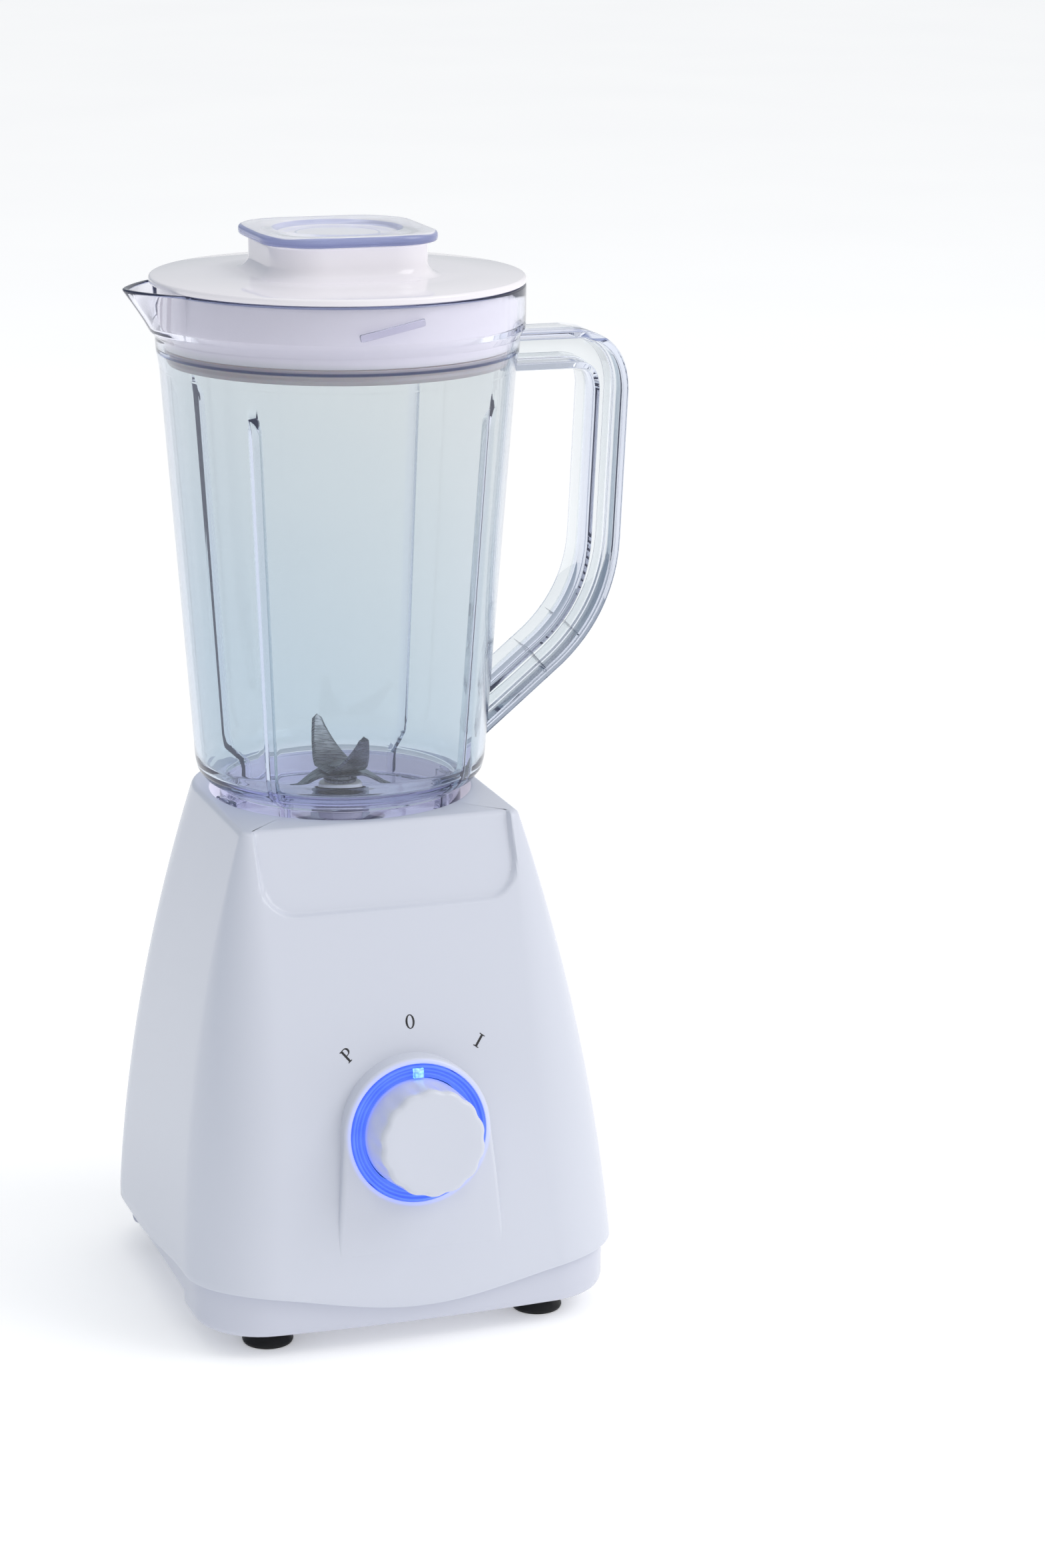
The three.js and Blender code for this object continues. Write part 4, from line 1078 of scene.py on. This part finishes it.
def blades():
    steel = brushed("blade_steel", (0.07, 0.08, 0.09), (0.3, 0.31, 0.33))
    upper, lower = (19, 15.2, 7.5, 2.6), (18.5, -6, 6.5, 2.0)     # reach, rise, width, tip
    for name, size, bend, base, turn, node in (("top_blade", upper, 1.3, 183.0, UPPER_TURN, "upper_blade"),
                                               ("bottom_blade", lower, 1, 181.4, LOWER_TURN, "lower_blade")):
        shape = strip(wing(*size, -1, bend), wing(*size, 1, bend), base)
        piece(name, moved(shape, turn=radians(turn)), steel, "blades", node, 30)
    nut = [(0, 183.7, 0), (4.6, 183.7, 0.3), (4.4, 184.4, 0.4), (3.2, 184.7, 0.3), (0, 184.9, 0)]
    washer = [(3.3, 177.9, 0.2), (6.0, 177.9, 0.3), (6.0, 179.0, 0.2), (5.2, 179.3, 0.2), (5.2, 180.4, 0.2),
              (3.3, 180.4, 0.2)]
    boss = [(3.3, 160.5, 0), (5.6, 160.5, 0.2), (5.6, 173.1, 0), (8.2, 173.1, 0.2), (7.7, 177.4, 0.7),
            (3.3, 177.6, 0.3)]
    piece("blade_cap_nut", lathe(rounded(nut, 4), 40), steel, "blades", "blade_nut")
    piece("blade_washer", lathe(rounded(washer, 3), 40), MATERIALS["dark_steel"], "blades",
          "thrust_washer")
    piece("bearing_boss", lathe(rounded(boss, 4), 48), lid_plastic(), "jar",
          "blade_bearing_boss")


# ---------- lid and cap ----------
def square_ring(side, radius, z, angles):
    reach = [rounded_square(a, side, radius) for a in angles]
    return [(r * cos(a), r * sin(a), z) for r, a in zip(reach, angles)]


def lid():
    angles = around(160, 0.5)
    low = RIM_Z + 0.3
    plate = [(62.4, low, 0), (RIM_R, low, 0.5), (RIM_R, low + 2.3, 1.1), (46, low + 3.2, 0)]
    rings = [round_ring(r, z, angles) for r, z in rounded(plate, 5, False)]
    fillet = 5.0
    for k in range(8):
        turn = pi / 2 * k / 7
        out, up = fillet * (1 - sin(turn)), fillet * (1 - cos(turn))
        rings.append(square_ring(NECK + 2 * out, NECK_R + out, low + 3.2 + up * 0.95, angles))
    for inset, z in ((0, NECK_TOP - 0.8), (0.25, NECK_TOP - 0.2), (0.8, NECK_TOP)):
        rings.append(square_ring(NECK - 2 * inset, NECK_R - inset, z, angles))
    for side, z in ((HOLE + 0.8, NECK_TOP), (HOLE, NECK_TOP - 0.5), (HOLE, low - 1.5), (HOLE + 1, low - 2)):
        rings.append(square_ring(side, NECK_R - 2.5, z, angles))
    skirt = rounded([(56, low - 2, 2), (58, 343, 2), (58, 335, 0.5), (60.2, 335, 0.5), (60.6, 339.3, 1),
                     (62.2, 343.4, 1), (62.4, low, 0)], 3, False)
    rings += [round_ring(r, z, angles) for r, z in skirt[:-1]]
    obj = to_mesh("white_lid", loft(rings, wrap=True))
    slots = [rounded_block((-70, step * 9 - 2, 339), (-50, step * 9 + 2, 353), 0.5) for step in (-1, 0, 1)]
    carve(obj, joined(*slots))
    dress(obj, lid_plastic(), "lid", "lid", 32)


def lid_gasket():
    profile = rounded([(56.8, 329.6, 0.4), (58.9, 329.6, 0.6), (59.6, 331.0, 0.4), (58.9, 331.9, 0.3),
                       (60.0, 333.4, 0.4), (60.1, 334.7, 0.2), (56.8, 334.7, 0.3)], 3)
    piece("sealing_ring", lathe(profile, 128), MATERIALS["silicone"], "lid",
          "lid_seal")


def cap():
    angles = around(144, 0.5)
    flange = CAP_TOP - 3.6
    rings = [round_ring(r, z, angles) for r, z in
             ((0, CAP_TOP - 2), (18, CAP_TOP - 2), (20.6, CAP_TOP - 1.9), (21.8, CAP_TOP - 1.2),
              (22.4, CAP_TOP - 0.5), (23.0, CAP_TOP - 0.15))]
    for inset, z in ((2.4, CAP_TOP), (1.3, CAP_TOP - 0.05), (0.6, CAP_TOP - 0.3), (0.15, CAP_TOP - 0.9),
                     (0.0, CAP_TOP - 1.6), (0.1, flange + 0.7), (0.5, flange + 0.15), (1.2, flange)):
        rings.append(square_ring(CAP_SIDE - 2 * inset, CAP_R - inset * 0.5, z, angles))
    for side, z, radius in ((PLUG + 1.2, flange, 13.6), (PLUG, flange - 0.6, 13),
                            (PLUG, PLUG_LOW + 0.7, 13), (PLUG - 1.2, PLUG_LOW, 12.4),
                            (PLUG - 3.4, PLUG_LOW, 11.6), (PLUG - 4, PLUG_LOW + 0.6, 11),
                            (PLUG - 4, flange - 1.6, 11), (PLUG - 6.5, flange - 0.4, 10)):
        rings.append(square_ring(side, radius, z, angles))
    rings.append(round_ring(0, flange - 0.4, angles))
    # low and high ends of the cap's tint and painted shade
    material = clear_plastic("clear_filler", (0.70, 0.73, 0.77), (0.72, 0.75, 0.78), (0.22, 0.26, 0.7),
                             14.0, 0.42)
    painted_cap_lines(material)
    piece("clear_cap", loft(rings, caps=False), material, "cap",
          "filler_cap", 42)


# ---------- studio ----------
FLOOR_HALF = 3e4


def camera():
    """The photograph's viewing angle, placed from the overall box."""
    low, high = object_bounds()
    middle = (low + high) / 2
    data = bpy.data.cameras.new("view")
    data.sensor_width, data.lens = 36.0, 88.61
    data.clip_start, data.clip_end = 0.05, 20
    obj = add_object("view", data)
    right = Vector((0.94536796, -0.32591892, 0.00750182))
    up = Vector((0.07898411, 0.25130759, 0.96467922))
    ahead = Vector((0.31629248, 0.91138431, -0.26332056))
    place = Vector((middle.x, middle.y, 0)) + Vector((-0.38802, -1.25494, 0.54))
    turn = Matrix((right, up, -ahead)).transposed().to_4x4()
    obj.matrix_world = Matrix.Translation(place) @ turn
    bpy.context.scene.camera = obj


def area_light(name, place, aim, size, power, colour=(1, 1, 1)):
    data = bpy.data.lights.new(name, "AREA")
    data.shape, data.size, data.energy, data.color = "SQUARE", size, power, colour
    obj = add_object(name, data)
    obj.location = place
    obj.rotation_mode = "QUATERNION"
    obj.rotation_quaternion = (Vector(aim) - Vector(place)).to_track_quat("-Z", "Y")


def sky():
    """White surroundings, cooler and darker on the left."""
    world = bpy.data.worlds.new("studio")
    bpy.context.scene.world = world
    world.use_nodes = True
    place = add_node(world, "TexCoord").outputs["Generated"]
    side = add_node(world, "VectorMath", place, (0.75, -0.35, 0.55), mode="DOT_PRODUCT").outputs["Value"]
    ramp = add_node(world, "ValToRGB", map_range(world, side, (-0.9, 0.5), (0.0, 1.0)))
    stops = ramp.color_ramp.elements
    stops[0].color, stops[1].color = (0.20, 0.28, 0.36, 1), (1, 1, 1, 1)
    background = world.node_tree.nodes["Background"]
    feed(world, background.inputs["Color"], ramp.outputs["Color"])
    feed(world, background.inputs["Strength"], 0.85)


def floor():
    half = FLOOR_HALF
    corners = [(-half, -half, 0), (half, -half, 0), (half, half, 0), (-half, half, 0)]
    obj = to_mesh("floor", (corners, [(0, 1, 2, 3)]))
    material = shader("floor_white", (0.92, 0.92, 0.92), Specular_IOR_Level=0.1)
    shades(material, noise(material, 3), (0.92, 0.92, 0.925), (0.94, 0.94, 0.94))
    surface(material, noise(material, 30), (0.85, 0.95), 0.01)
    glow(material, (1, 1, 1), 0.24)
    obj.data.materials.append(material)


def studio():
    bpy.context.scene.view_settings.view_transform = "Standard"
    sky()
    area_light("key", (1.7, -1.1, 1.9), (0, 0, 0.2), 1.4, 19)
    area_light("top", (-0.1, 0.0, 2.2), (0, 0, 0.2), 1.6, 6)
    area_light("rim", (-1.6, 1.2, 1.2), (0, 0, 0.25), 1.0, 0.2, (0.93, 0.96, 1.0))
    floor()


# ---------- assembly ----------
camera()
finish_cad_nodes()
upper_housing()
control_pod()
lower_shell()
feet()
control_knob()
light_ring()
indicator()
dial_mark("mark_p", glyph_p(), -21.7, 103.6, radians(-40))
dial_mark("mark_0", glyph_zero(), 1.4, 112.3, 0.0)
dial_mark("mark_i", glyph_one(), 25.6, 103.7, radians(37))
jar()
handle()
blades()
lid()
lid_gasket()
cap()
studio()
